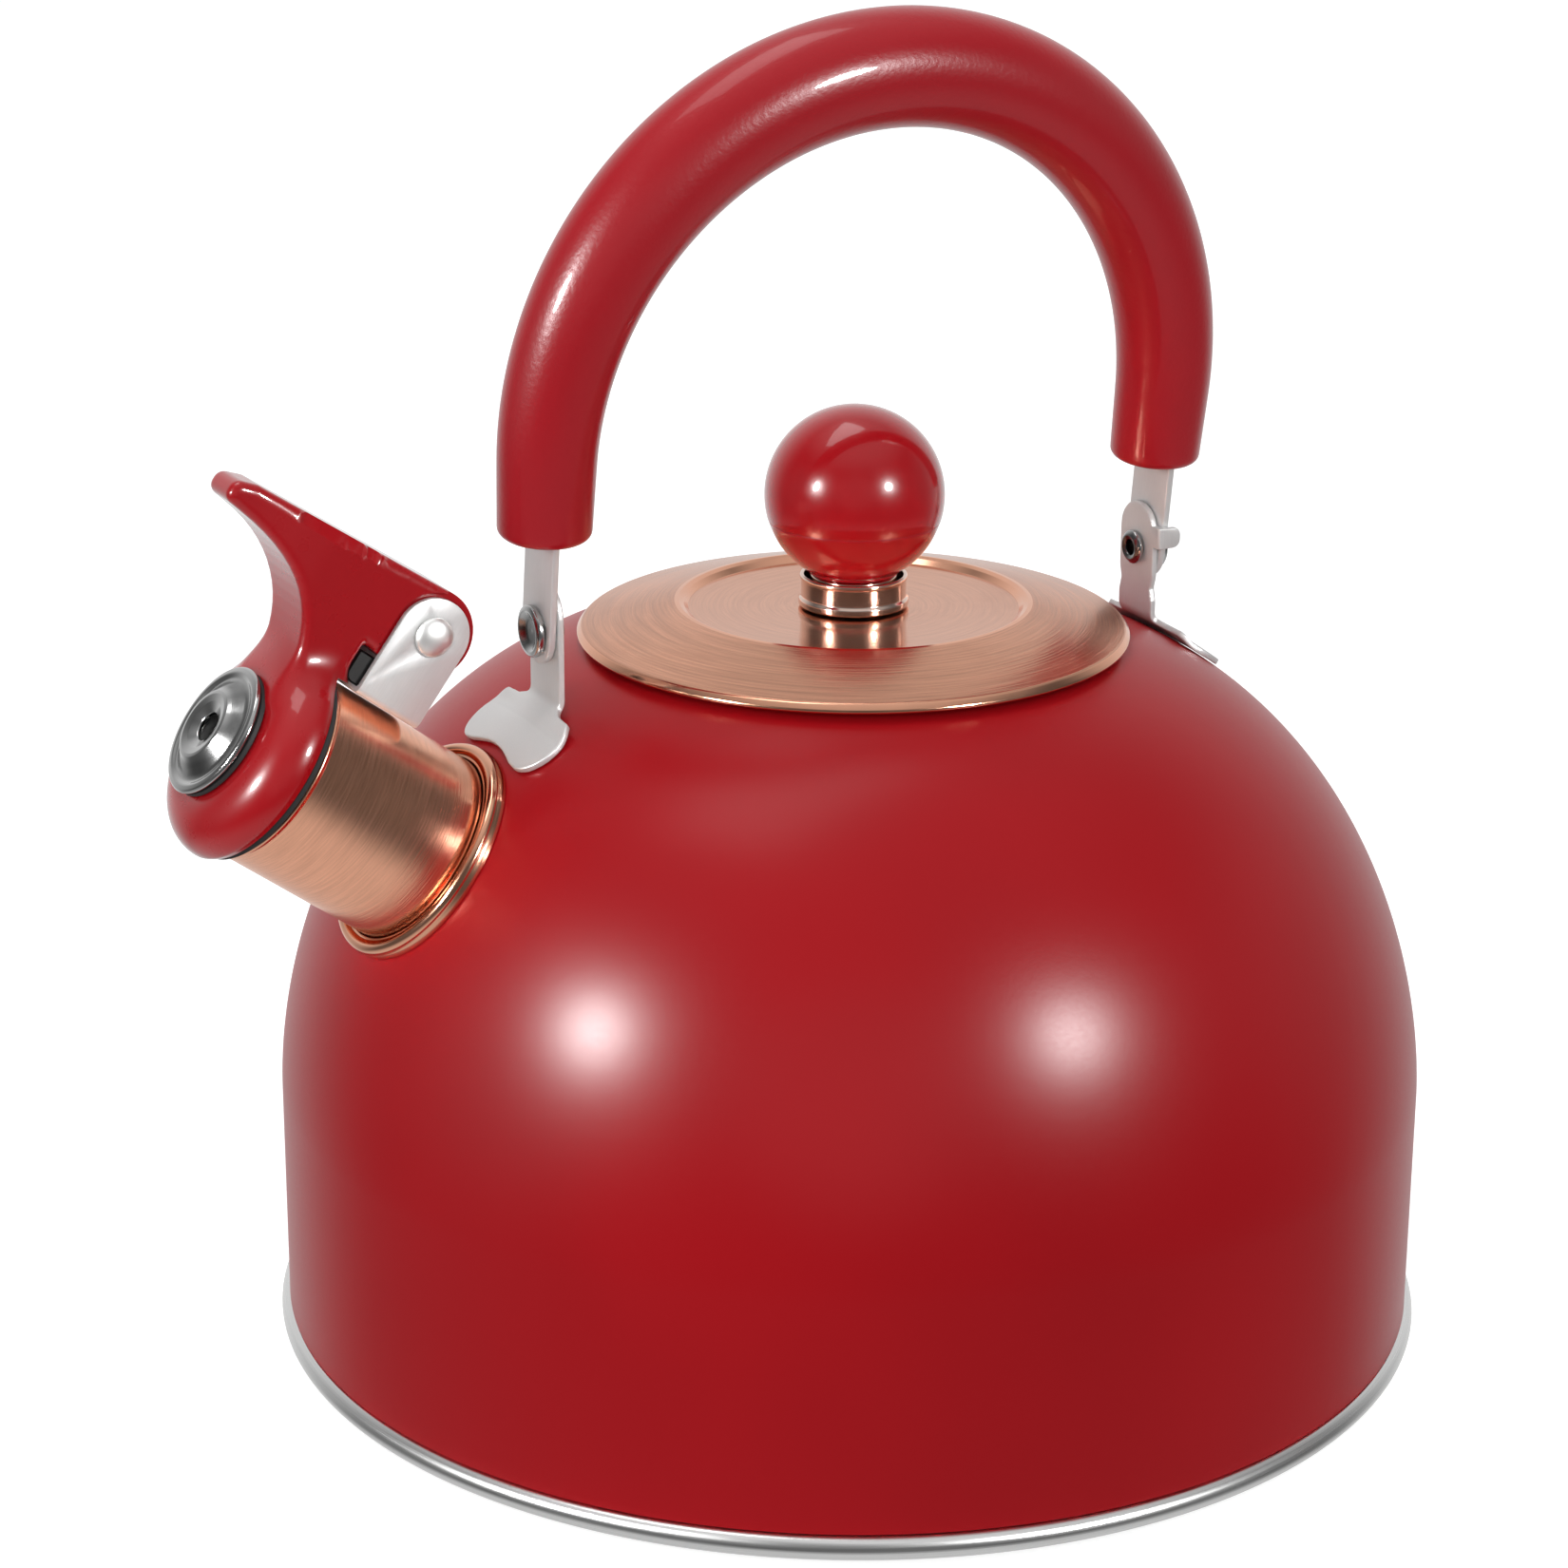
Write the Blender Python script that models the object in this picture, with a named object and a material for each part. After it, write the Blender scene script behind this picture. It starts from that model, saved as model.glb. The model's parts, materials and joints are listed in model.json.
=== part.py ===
"""Whistling stove-top kettle: a domed, painted steel body with a sealed base, a lift-off lid, a folding arch
handle and a sprung whistle cap on a short spout.

Metres, +Z up. The origin is the centre of the flat underside. The spout points along -X, the handle spans the
lid along X and folds down towards +Y about the line through its two rivets."""

import math

import bmesh
import bpy
from mathutils import Matrix, Vector

GAP = 0.0003
SHEET = 0.0008

# Body: a straight wall, then a dome whose outline is a superellipse, up to a neck that the lid closes.
BODY_RADIUS = 0.1000
WALL_BOTTOM = 0.00495
WALL_TOP = 0.0447
DOME_RISE = 0.08287
DOME_RADIAL_POWER = 0.6806
DOME_RISE_POWER = 1.0986
DOME_STEPS = 10
NECK_RADIUS = 0.0416
NECK_BOTTOM = 0.1140
NECK_CORNER = 0.0430
NECK_EDGE_DROP = 0.0012
NECK_EDGE_SOFTENING = 0.0004

# Base: a pan with a rolled rim, an aluminium core and a steel cap that the kettle stands on.
RIM_CENTRE_RADIUS = 0.09937
RIM_CENTRE_HEIGHT = 0.0025
RIM_RADIUS = 0.00213
FLOOR_TOP = 0.0050
FLOOR_BOTTOM = 0.0042
CORE_RADIUS = 0.0880
CORE_TOP = 0.0039
CORE_BOTTOM = 0.0009
BASE_CAP_SHEET = 0.0006
BASE_CAP_RADIUS = 0.0890

# Lid.
LID_HOLE = 0.0024
LID_RADIUS = 0.0474
LID_EDGE_BOTTOM = 0.1238
LID_EDGE_TOP = 0.1256
LID_EDGE_CURL = 0.0004
LID_EDGE_WIDTH = 0.0013
LID_SLOPE_END = 0.0466
RECESS_RADIUS = 0.0284
RECESS_EDGE_RADIUS = 0.0297
RECESS_EDGE_HEIGHT = 0.1298
RECESS_HEIGHT = 0.1286
SKIRT_RADIUS = 0.0412
SKIRT_BOTTOM = 0.1130
SKIRT_BEAD_RADIUS = 0.0433
SKIRT_BEAD_HEIGHT = 0.1246
SKIRT_BEAD_HALF_HEIGHT = 0.0004
SKIRT_FLANGE_RADIUS = 0.0365
SKIRT_SHEET = 0.0006
LID_SEAT_HEIGHT = 0.1240

# Knob.
BALL_RADIUS = 0.01536
BALL_HEIGHT = 0.14816
BALL_NECK_RADIUS = 0.0078
FERRULE_RADIUS = 0.0091
FERRULE_FLANGE_RADIUS = 0.00945
FERRULE_TOP = 0.1328
FERRULE_FLANGE_HEIGHT = 0.0003
FERRULE_SHEET = 0.0006
BOSS_RADIUS = 0.0074
BOSS_BORE = 0.0041
BOSS_TOP = 0.1343
INSERT_RADIUS = 0.0036
INSERT_TOP = 0.1420
SCREW_RADIUS = 0.0020
SCREW_HEAD_RADIUS = 0.0036
SCREW_HEAD_HEIGHT = 0.0024
SCREW_TOP = 0.1400
WASHER_RADIUS = 0.0050
WASHER_THICKNESS = 0.0006

# Spout: its axis rises away from the body. Lengths run along the axis from SPOUT_ROOT.
SPOUT_ROOT = Vector((-0.0900, 0.0, 0.1038))
SPOUT_RISE = math.radians(36.6)
TUBE_RADIUS = 0.0166
TUBE_START = -0.0148
TUBE_END = 0.0212
TUBE_LIP_RADIUS = 0.0173
COLLAR_RADIUS = 0.0196
COLLAR_HEIGHT = 0.0025

# Whistle cap, its hinge and its thumb lever. ALONG and ABOVE are measured from the spout's axis.
HINGE_ALONG = 0.0120
HINGE_ABOVE = 0.0311
PIN_RADIUS = 0.0015
PIN_BORE = 0.0018
PIN_HEAD_RADIUS = 0.0033
PIN_HEAD_HEIGHT = 0.0016
EAR_INNER = 0.0070
EAR_OUTER = 0.0081
EAR_RADIUS = 0.0063
EAR_BASE_BOTTOM = 0.0169
EAR_BASE_TOP = 0.0179
CAP_REAR = 0.0228
CAP_BULGE = 0.0238
CAP_FRONT = 0.0303
CAP_REAR_RADIUS = 0.0183
CAP_BULGE_RADIUS = 0.0188
CAP_FACE_RADIUS = 0.0115
CAP_BORE = 0.0145
CAP_BORE_END = 0.0285
CAP_HOLE = 0.0106
HORN_HALF_WIDTH = 0.0078
HORN_TIP_HALF_WIDTH = 0.0048
HORN_TAPER_START = 0.0340
HORN_TIP = 0.0538
HORN_EDGE = 0.0009
KNUCKLE_HALF_WIDTH = 0.0066
KNUCKLE_RADIUS = 0.0076
SPRING_POCKET_HALF_WIDTH = 0.0036
SPRING_POCKET_START = 0.0060
SPRING_POCKET_END = 0.0176
SPRING_POCKET_BOTTOM = 0.0200
SPRING_POCKET_TOP = 0.0356
SLOT_START = 0.0213
SLOT_BOTTOM = 0.0185
SLOT_TOP = 0.0246
BLOCK_HALF_WIDTH = 0.0063
BLOCK_START = 0.0080
BLOCK_END = 0.0206
BLOCK_CORNER = 0.0015
SPRING_WIRE = 0.00045
SPRING_RADIUS = 0.0030
SPRING_TURNS = 4
SPRING_HALF_LENGTH = 0.0026
SPRING_FRONT_LEG = 0.0048
SPRING_BACK_LEG = 0.0066
SPRING_STEPS_A_TURN = 16
CORE_PLUG_RADIUS = 0.0142
CORE_NECK_RADIUS = 0.0103
CORE_FLANGE_RADIUS = 0.0111
CORE_PLUG_BORE = 0.0089
CORE_FLANGE_THICKNESS = 0.0008
CORE_LIP = 0.0012
SEAL_RADIUS = 0.0177
BEZEL_RADIUS = 0.0114
BEZEL_HOLE = 0.00245
BEZEL_THROAT_SHEET = 0.0005
BEZEL_THROAT_REAR = 0.0270
BACK_PLATE_HOLE = 0.0015
BACK_PLATE_FRONT = 0.0260
BACK_PLATE_REAR = 0.0255

# Handle: an arch that leans a little past upright onto its stop.
PIVOT_HEIGHT = 0.1320
HANDLE_LEAN = math.radians(7.2)
LEG_TOP = 0.0300
ARCH_HALF_SPAN = 0.0588
ARCH_RISE = 0.0607
GRIP_END_HALF_SPAN = 0.0587
GRIP_BOTTOM = 0.0168
GRIP_END_RADIUS = 0.0078
GRIP_TOP_RADIUS = 0.00975
GRIP_EDGE = 0.0007
GRIP_SIDES = 18
STRAP_HALF_SPAN = 0.0590
STRAP_THICKNESS = 0.0012
STRAP_HALF_WIDTH = 0.0055
RIVET_RADIUS = 0.0019
RIVET_BORE = 0.0022
RIVET_HEAD_RADIUS = 0.0044
RIVET_HEAD_HEIGHT = 0.0013
RIVET_TAIL_RADIUS = 0.0030
RIVET_TAIL_HEIGHT = 0.0014
RIVET_TAIL_BORE = 0.0013
BRACKET_INNER = 0.0570
BRACKET_OUTER = 0.0581
BRACKET_TOP = 0.1402
FOOT_THICKNESS = 0.0010
FOOT_NECK = 0.0592
FOOT_LOBE_CENTRE = (0.0631, 0.0092)
FOOT_LOBE_RADIUS = 0.0049
FOOT_FRONT_MIDDLE = 0.0670
STOP_FACE = 0.0064
STOP_REACH = 0.0614
STOP_CORNER = 0.0008
STOP_LOW = 0.1331
STOP_HIGH = 0.1368

FINE = 48
MEDIUM = 28
SMALL = 12

RED_PAINT = ("red_paint", (0.42, 0.012, 0.018), 0.42, 0.0)
RED_GLOSS = ("red_gloss", (0.45, 0.010, 0.014), 0.12, 0.0)
COPPER = ("copper_plate", (0.80, 0.36, 0.20), 0.25, 1.0)
PALE_COPPER = ("pale_copper", (0.78, 0.50, 0.38), 0.15, 1.0)
STEEL = ("satin_steel", (0.68, 0.68, 0.67), 0.35, 1.0)
BRIGHT_STEEL = ("bright_steel", (0.80, 0.80, 0.79), 0.12, 1.0)
ALUMINIUM = ("aluminium_core", (0.75, 0.76, 0.77), 0.45, 1.0)
BRASS = ("brass_insert", (0.75, 0.58, 0.28), 0.35, 1.0)
BLACK = ("black_nylon", (0.012, 0.012, 0.013), 0.45, 0.0)
RUBBER = ("black_rubber", (0.014, 0.014, 0.015), 0.60, 0.0)


def clear_scene():
    for obj in list(bpy.data.objects):
        bpy.data.objects.remove(obj, do_unlink=True)


def finish_material(finish):
    """The Principled material of a finish (name, colour, roughness, metallic), made once."""
    name, colour, roughness, metallic = finish
    made = bpy.data.materials.get(name)
    if made:
        return made
    made = bpy.data.materials.new(name)
    made.use_nodes = True
    shader = made.node_tree.nodes["Principled BSDF"]
    shader.inputs["Base Color"].default_value = (*colour, 1.0)
    shader.inputs["Roughness"].default_value = roughness
    shader.inputs["Metallic"].default_value = metallic
    made.diffuse_color = (*colour, 1.0)
    return made


def add_piece(name, mesh, finish, parent=None):
    mesh.materials.append(finish_material(finish))
    piece = bpy.data.objects.new(name, mesh)
    piece.parent = parent
    bpy.context.scene.collection.objects.link(piece)
    return piece


def add_empty(name, location, rotation=(0.0, 0.0, 0.0), parent=None):
    empty = bpy.data.objects.new(name, None)
    empty.location = location
    empty.rotation_euler = rotation
    empty.parent = parent
    bpy.context.scene.collection.objects.link(empty)
    return empty


def mesh_from(bm, name, sharp_angle=math.radians(35)):
    bmesh.ops.recalc_face_normals(bm, faces=bm.faces)
    mesh = bpy.data.meshes.new(name)
    bm.to_mesh(mesh)
    bm.free()
    mesh.shade_smooth()
    mesh.set_sharp_from_angle(angle=sharp_angle)
    return mesh


def turned(name, profile, finish, segments, parent=None, shift=0.0):
    """A piece of revolution about local Z. The profile's (radius, height) points run down its outer side, and a
    profile that doesn't start on the axis is closed into a ring."""
    mesh = bpy.data.meshes.new(name)
    points = [(radius, 0.0, height - shift) for radius, height in profile]
    edges = [(i, i + 1) for i in range(len(points) - 1)]
    if profile[0][0] > 0:
        edges.append((len(points) - 1, 0))
    mesh.from_pydata(points, edges, [])
    piece = add_piece(name, mesh, finish, parent)
    screw = piece.modifiers.new("turn", "SCREW")
    screw.axis = "Z"
    screw.angle = 2 * math.pi
    screw.steps = segments
    screw.render_steps = segments
    screw.use_merge_vertices = True
    screw.merge_threshold = 1e-5
    screw.use_smooth_shade = True
    return piece


def rod_mesh(name, radius, length, segments=SMALL):
    """A plain round bar, centred, along local Z."""
    bm = bmesh.new()
    bmesh.ops.create_cone(bm, cap_ends=True, segments=segments, radius1=radius, radius2=radius, depth=length)
    return mesh_from(bm, name)


def helper(name, mesh, parent=None, matrix=None):
    """A body that only shapes another piece."""
    made = add_piece(name, mesh, BLACK, parent)
    if matrix is not None:
        made.matrix_local = matrix
    made.hide_render = True
    made.display_type = "WIRE"
    return made


def combine(piece, other, operation):
    boolean = piece.modifiers.new(other.name, "BOOLEAN")
    boolean.operation = operation
    boolean.solver = "EXACT"
    boolean.object = other


def arc(centre, radius, start, end, steps):
    """Points on an arc in a plane, angles in degrees from the first axis."""
    turns = [math.radians(start + (end - start) * i / steps) for i in range(steps + 1)]
    return [(centre[0] + radius * math.cos(a), centre[1] + radius * math.sin(a)) for a in turns]


def prism(outline, half_width):
    """A bmesh solid: the (x, z) outline extruded along Y to half_width(x, z) on both sides."""
    bm = bmesh.new()
    sides = []
    for sign in (-1, 1):
        sides.append([bm.verts.new((x, sign * half_width(x, z), z)) for x, z in outline])
    for side in sides:
        bm.faces.new(side)
    count = len(outline)
    for i in range(count):
        j = (i + 1) % count
        bm.faces.new((sides[0][i], sides[0][j], sides[1][j], sides[1][i]))
    return bm


# ---- body ----


def dome_point(angle, inset=0.0):
    """(radius, height) on the dome, moved in by inset along the outline's normal."""
    c = math.cos(angle)
    s = max(math.sin(angle), 1e-6)
    radius = BODY_RADIUS * c**DOME_RADIAL_POWER
    height = WALL_TOP + DOME_RISE * s**DOME_RISE_POWER
    along_r = -BODY_RADIUS * DOME_RADIAL_POWER * c ** (DOME_RADIAL_POWER - 1) * s
    along_z = DOME_RISE * DOME_RISE_POWER * s ** (DOME_RISE_POWER - 1) * c
    length = math.hypot(along_r, along_z)
    return radius - inset * along_z / length, height + inset * along_r / length


def dome_angle(radius):
    return math.acos(min(radius / BODY_RADIUS, 1.0) ** (1 / DOME_RADIAL_POWER))


def dome_height(radius):
    return dome_point(dome_angle(radius))[1]


def dome_outline(inset):
    top = dome_angle(NECK_CORNER)
    return [dome_point(top * (1 - i / DOME_STEPS), inset) for i in range(DOME_STEPS + 1)]


def make_body(spout):
    neck_height = dome_height(NECK_CORNER)
    neck_outer = NECK_RADIUS + SHEET
    outside = [
        (NECK_RADIUS, NECK_BOTTOM),
        (NECK_RADIUS, neck_height - NECK_EDGE_DROP),
        (NECK_RADIUS + NECK_EDGE_SOFTENING, neck_height - 0.25 * NECK_EDGE_DROP),
        *dome_outline(0.0),
        (BODY_RADIUS, WALL_BOTTOM),
    ]
    inside = [
        (BODY_RADIUS - SHEET, WALL_BOTTOM),
        *reversed(dome_outline(SHEET)),
        (neck_outer, neck_height - 1.5 * NECK_EDGE_DROP),
        (neck_outer, NECK_BOTTOM),
    ]
    shell = turned("body_shell", outside + inside, RED_PAINT, FINE)
    depth = 0.030
    bore = rod_mesh("spout_bore_tool", TUBE_RADIUS + GAP, depth, MEDIUM)
    tool = helper("spout_bore_tool", bore, spout, Matrix.Translation((0.0, 0.0, -0.5 * depth)))
    combine(shell, tool, "DIFFERENCE")


def make_base():
    rim = arc((RIM_CENTRE_RADIUS, RIM_CENTRE_HEIGHT), RIM_RADIUS, 105, -180, 9)
    inner_edge = rim[-1][0]
    pan = [
        (0.0, FLOOR_TOP),
        (rim[0][0] - 0.0002, FLOOR_TOP),
        *rim,
        (inner_edge, FLOOR_BOTTOM),
        (0.0, FLOOR_BOTTOM),
    ]
    turned("base_pan", pan, BRIGHT_STEEL, FINE)
    core = [(0.0, CORE_TOP), (CORE_RADIUS, CORE_TOP), (CORE_RADIUS, CORE_BOTTOM), (0.0, CORE_BOTTOM)]
    turned("base_core", core, ALUMINIUM, FINE)
    inner_wall = BASE_CAP_RADIUS - BASE_CAP_SHEET
    cap = [
        (0.0, BASE_CAP_SHEET),
        (inner_wall, BASE_CAP_SHEET),
        (inner_wall, CORE_TOP),
        (BASE_CAP_RADIUS, CORE_TOP),
        (BASE_CAP_RADIUS, BASE_CAP_SHEET),
        (inner_wall, 0.0),
        (0.0, 0.0),
    ]
    turned("base_cap", cap, STEEL, FINE)


# ---- lid and knob ----


def make_lid(seat):
    plate = [
        (LID_HOLE, RECESS_HEIGHT),
        (RECESS_RADIUS, RECESS_HEIGHT),
        (RECESS_EDGE_RADIUS - 0.0006, RECESS_EDGE_HEIGHT - 0.0003),
        (RECESS_EDGE_RADIUS, RECESS_EDGE_HEIGHT),
        (RECESS_EDGE_RADIUS + 0.0010, RECESS_EDGE_HEIGHT - 0.0001),
        (LID_SLOPE_END, LID_EDGE_TOP),
        (LID_RADIUS, LID_EDGE_TOP - 1.5 * LID_EDGE_CURL),
        (LID_RADIUS, LID_EDGE_BOTTOM + LID_EDGE_CURL),
        (LID_RADIUS - LID_EDGE_CURL, LID_EDGE_BOTTOM),
        (LID_RADIUS - LID_EDGE_WIDTH + 0.5 * LID_EDGE_CURL, LID_EDGE_BOTTOM + LID_EDGE_CURL),
        (LID_RADIUS - LID_EDGE_WIDTH, LID_EDGE_TOP - SHEET),
        (RECESS_EDGE_RADIUS + SHEET, RECESS_EDGE_HEIGHT - 1.25 * SHEET),
        (RECESS_RADIUS + 0.5 * SHEET, RECESS_HEIGHT - SHEET),
        (LID_HOLE, RECESS_HEIGHT - SHEET),
    ]
    turned("lid_plate", plate, COPPER, FINE, seat, LID_SEAT_HEIGHT)

    def under_plate(radius):
        """The height of the plate's sloping underside."""
        run = LID_SLOPE_END - RECESS_EDGE_RADIUS
        fall = (RECESS_EDGE_HEIGHT - LID_EDGE_TOP) / run
        return RECESS_EDGE_HEIGHT - fall * (radius - RECESS_EDGE_RADIUS) - SHEET - 0.0001

    top = GAP + 0.0002
    inner = SKIRT_RADIUS - SKIRT_SHEET
    skirt = [
        (SKIRT_FLANGE_RADIUS, under_plate(SKIRT_FLANGE_RADIUS) - top),
        (SKIRT_RADIUS, under_plate(SKIRT_RADIUS) - top),
        (SKIRT_BEAD_RADIUS, SKIRT_BEAD_HEIGHT + SKIRT_BEAD_HALF_HEIGHT),
        (SKIRT_BEAD_RADIUS, SKIRT_BEAD_HEIGHT - SKIRT_BEAD_HALF_HEIGHT),
        (SKIRT_RADIUS, SKIRT_BEAD_HEIGHT - 1.5 * SKIRT_BEAD_HALF_HEIGHT),
        (SKIRT_RADIUS, SKIRT_BOTTOM),
        (inner, SKIRT_BOTTOM),
        (inner, under_plate(inner) - top - SKIRT_SHEET),
        (SKIRT_FLANGE_RADIUS, under_plate(SKIRT_FLANGE_RADIUS) - top - SKIRT_SHEET),
    ]
    turned("lid_skirt", skirt, STEEL, FINE, seat, LID_SEAT_HEIGHT)


def make_knob(seat):
    floor_bottom = RECESS_HEIGHT + GAP
    floor_top = floor_bottom + FERRULE_SHEET
    cup_inner = FERRULE_RADIUS - FERRULE_SHEET
    ferrule = [
        (LID_HOLE, floor_top),
        (BOSS_BORE, floor_top),
        (BOSS_BORE, BOSS_TOP),
        (BOSS_RADIUS, BOSS_TOP),
        (BOSS_RADIUS, floor_top),
        (cup_inner, floor_top),
        (cup_inner, FERRULE_TOP),
        (FERRULE_RADIUS, FERRULE_TOP),
        (FERRULE_RADIUS, floor_top + 2 * FERRULE_FLANGE_HEIGHT),
        (FERRULE_FLANGE_RADIUS, floor_top + FERRULE_FLANGE_HEIGHT),
        (FERRULE_FLANGE_RADIUS, floor_bottom),
        (LID_HOLE, floor_bottom),
    ]
    turned("knob_ferrule", ferrule, PALE_COPPER, MEDIUM, seat, LID_SEAT_HEIGHT)

    ball_bore = INSERT_RADIUS + GAP
    ball_bore_top = INSERT_TOP + GAP
    neck_angle = -math.degrees(math.acos(BALL_NECK_RADIUS / BALL_RADIUS))
    sphere = arc((0.0, BALL_HEIGHT), BALL_RADIUS, 90, neck_angle, 10)
    sphere[0] = (0.0, BALL_HEIGHT + BALL_RADIUS)
    neck_bottom = BOSS_TOP + GAP
    ball = [
        *sphere,
        (BALL_NECK_RADIUS, neck_bottom),
        (ball_bore, neck_bottom),
        (ball_bore, ball_bore_top),
        (0.0, ball_bore_top),
    ]
    turned("knob_ball", ball, RED_GLOSS, MEDIUM, seat, LID_SEAT_HEIGHT)

    thread = SCREW_RADIUS + GAP
    insert_bottom = floor_top + 2 * GAP
    insert = [
        (thread, INSERT_TOP),
        (INSERT_RADIUS, INSERT_TOP),
        (INSERT_RADIUS, insert_bottom),
        (thread, insert_bottom),
    ]
    turned("knob_insert", insert, BRASS, SMALL, seat, LID_SEAT_HEIGHT)

    washer_top = RECESS_HEIGHT - SHEET - GAP
    washer_bottom = washer_top - WASHER_THICKNESS
    washer = [
        (LID_HOLE, washer_top),
        (WASHER_RADIUS, washer_top),
        (WASHER_RADIUS, washer_bottom),
        (LID_HOLE, washer_bottom),
    ]
    turned("lid_washer", washer, STEEL, SMALL, seat, LID_SEAT_HEIGHT)

    head_top = washer_bottom - GAP
    screw = [
        (0.0, SCREW_TOP),
        (SCREW_RADIUS, SCREW_TOP),
        (SCREW_RADIUS, head_top),
        (SCREW_HEAD_RADIUS, head_top),
        (SCREW_HEAD_RADIUS, head_top - 0.6 * SCREW_HEAD_HEIGHT),
        (0.6 * SCREW_HEAD_RADIUS, head_top - SCREW_HEAD_HEIGHT),
        (0.0, head_top - SCREW_HEAD_HEIGHT),
    ]
    turned("lid_screw", screw, STEEL, SMALL, seat, LID_SEAT_HEIGHT)


# ---- spout ----


def spout_direction():
    return Vector((-math.cos(SPOUT_RISE), 0.0, math.sin(SPOUT_RISE)))


def seat_on_dome(angle, radius):
    """The distance along the spout's axis at which a line parallel to it, this far off it, leaves the dome."""
    axis = spout_direction()
    up = Vector((math.sin(SPOUT_RISE), 0.0, math.cos(SPOUT_RISE)))
    start = SPOUT_ROOT + radius * (math.cos(angle) * up + math.sin(angle) * Vector((0.0, 1.0, 0.0)))
    low, high = -0.030, 0.010
    for _ in range(40):
        middle = 0.5 * (low + high)
        point = start + middle * axis
        reach = math.hypot(point.x, point.y)
        if reach < BODY_RADIUS and point.z < dome_height(reach) + 1.6 * GAP:
            low = middle
        else:
            high = middle
    return high


def make_spout(spout):
    inner = TUBE_RADIUS - SHEET
    tube = [
        (inner, TUBE_END),
        (TUBE_LIP_RADIUS - 0.0003, TUBE_END),
        (TUBE_LIP_RADIUS, TUBE_END - 0.0004),
        (TUBE_RADIUS, TUBE_END - 0.0011),
        (TUBE_RADIUS, TUBE_START),
        (inner, TUBE_START),
    ]
    turned("spout_tube", tube, COPPER, MEDIUM, spout)

    inner = TUBE_RADIUS + GAP
    section = [
        (inner, 0.0),
        (inner, 0.0010),
        (inner + 0.0008, 0.0012),
        (inner + 0.0012, 0.0021),
        (inner + 0.0019, COLLAR_HEIGHT),
        (COLLAR_RADIUS - 0.0002, 0.0019),
        (COLLAR_RADIUS, 0.0011),
        (COLLAR_RADIUS, 0.0),
    ]
    bm = bmesh.new()
    rings = []
    for i in range(MEDIUM):
        angle = 2 * math.pi * i / MEDIUM
        ring = []
        for radius, height in section:
            along = seat_on_dome(angle, radius) + height
            ring.append(bm.verts.new((radius * math.cos(angle), radius * math.sin(angle), along)))
        rings.append(ring)
    for i in range(MEDIUM):
        here, there = rings[i], rings[(i + 1) % MEDIUM]
        for j in range(len(section)):
            k = (j + 1) % len(section)
            bm.faces.new((here[j], here[k], there[k], there[j]))
    add_piece("spout_collar", mesh_from(bm, "spout_collar"), COPPER, spout)


# ---- whistle cap and its hinge ----


def ear_outline(foot):
    """One ear of the hinge bracket as (above, along) points: straight sides and a round top about the pin."""
    top = arc((HINGE_ABOVE, HINGE_ALONG), EAR_RADIUS, -90, 90, 12)
    return [(foot, HINGE_ALONG - EAR_RADIUS), *top, (foot, HINGE_ALONG + EAR_RADIUS)]


def make_hinge(spout, hinge):
    channel = prism(ear_outline(EAR_BASE_BOTTOM), lambda x, z: EAR_OUTER)
    bracket = add_piece("hinge_bracket", mesh_from(channel, "hinge_bracket"), STEEL, spout)
    rear, front, clear = -0.010, 0.040, 0.050
    room = [(EAR_BASE_TOP, rear), (clear, rear), (clear, front), (EAR_BASE_TOP, front)]
    room_mesh = mesh_from(prism(room, lambda x, z: EAR_INNER), "bracket_channel_tool")
    combine(bracket, helper("bracket_channel_tool", room_mesh, spout), "DIFFERENCE")
    across = Matrix.Rotation(math.radians(90), 4, "X")
    bore = rod_mesh("bracket_bore_tool", PIN_BORE, 0.040)
    combine(bracket, helper("bracket_bore_tool", bore, hinge, across), "DIFFERENCE")

    reach = EAR_OUTER + GAP
    dome = arc((0.0, 0.0), 1.0, 90, 0, 5)
    upper = [(PIN_HEAD_RADIUS * x, reach + PIN_HEAD_HEIGHT * y) for x, y in dome]
    upper[0] = (0.0, reach + PIN_HEAD_HEIGHT)
    lower = [(x, -y) for x, y in reversed(upper)]
    shank = [(PIN_RADIUS, reach), (PIN_RADIUS, -reach)]
    pin = turned("hinge_pin", [*upper, *shank, *lower], BRIGHT_STEEL, SMALL, hinge)
    pin.rotation_euler = (math.radians(90), 0.0, 0.0)

    block_top = HINGE_ABOVE - KNUCKLE_RADIUS - 0.0005
    block_bottom = EAR_BASE_TOP + GAP
    corner = (block_bottom + BLOCK_CORNER, BLOCK_END - BLOCK_CORNER)
    round_corner = arc(corner, BLOCK_CORNER, 180, 90, 4)
    outline = [(block_bottom, BLOCK_START), *round_corner, (block_top, BLOCK_END), (block_top, BLOCK_START)]
    block = prism(outline, lambda x, z: BLOCK_HALF_WIDTH)
    add_piece("hinge_block", mesh_from(block, "hinge_block"), BLACK, spout)
    make_spring(hinge)


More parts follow.
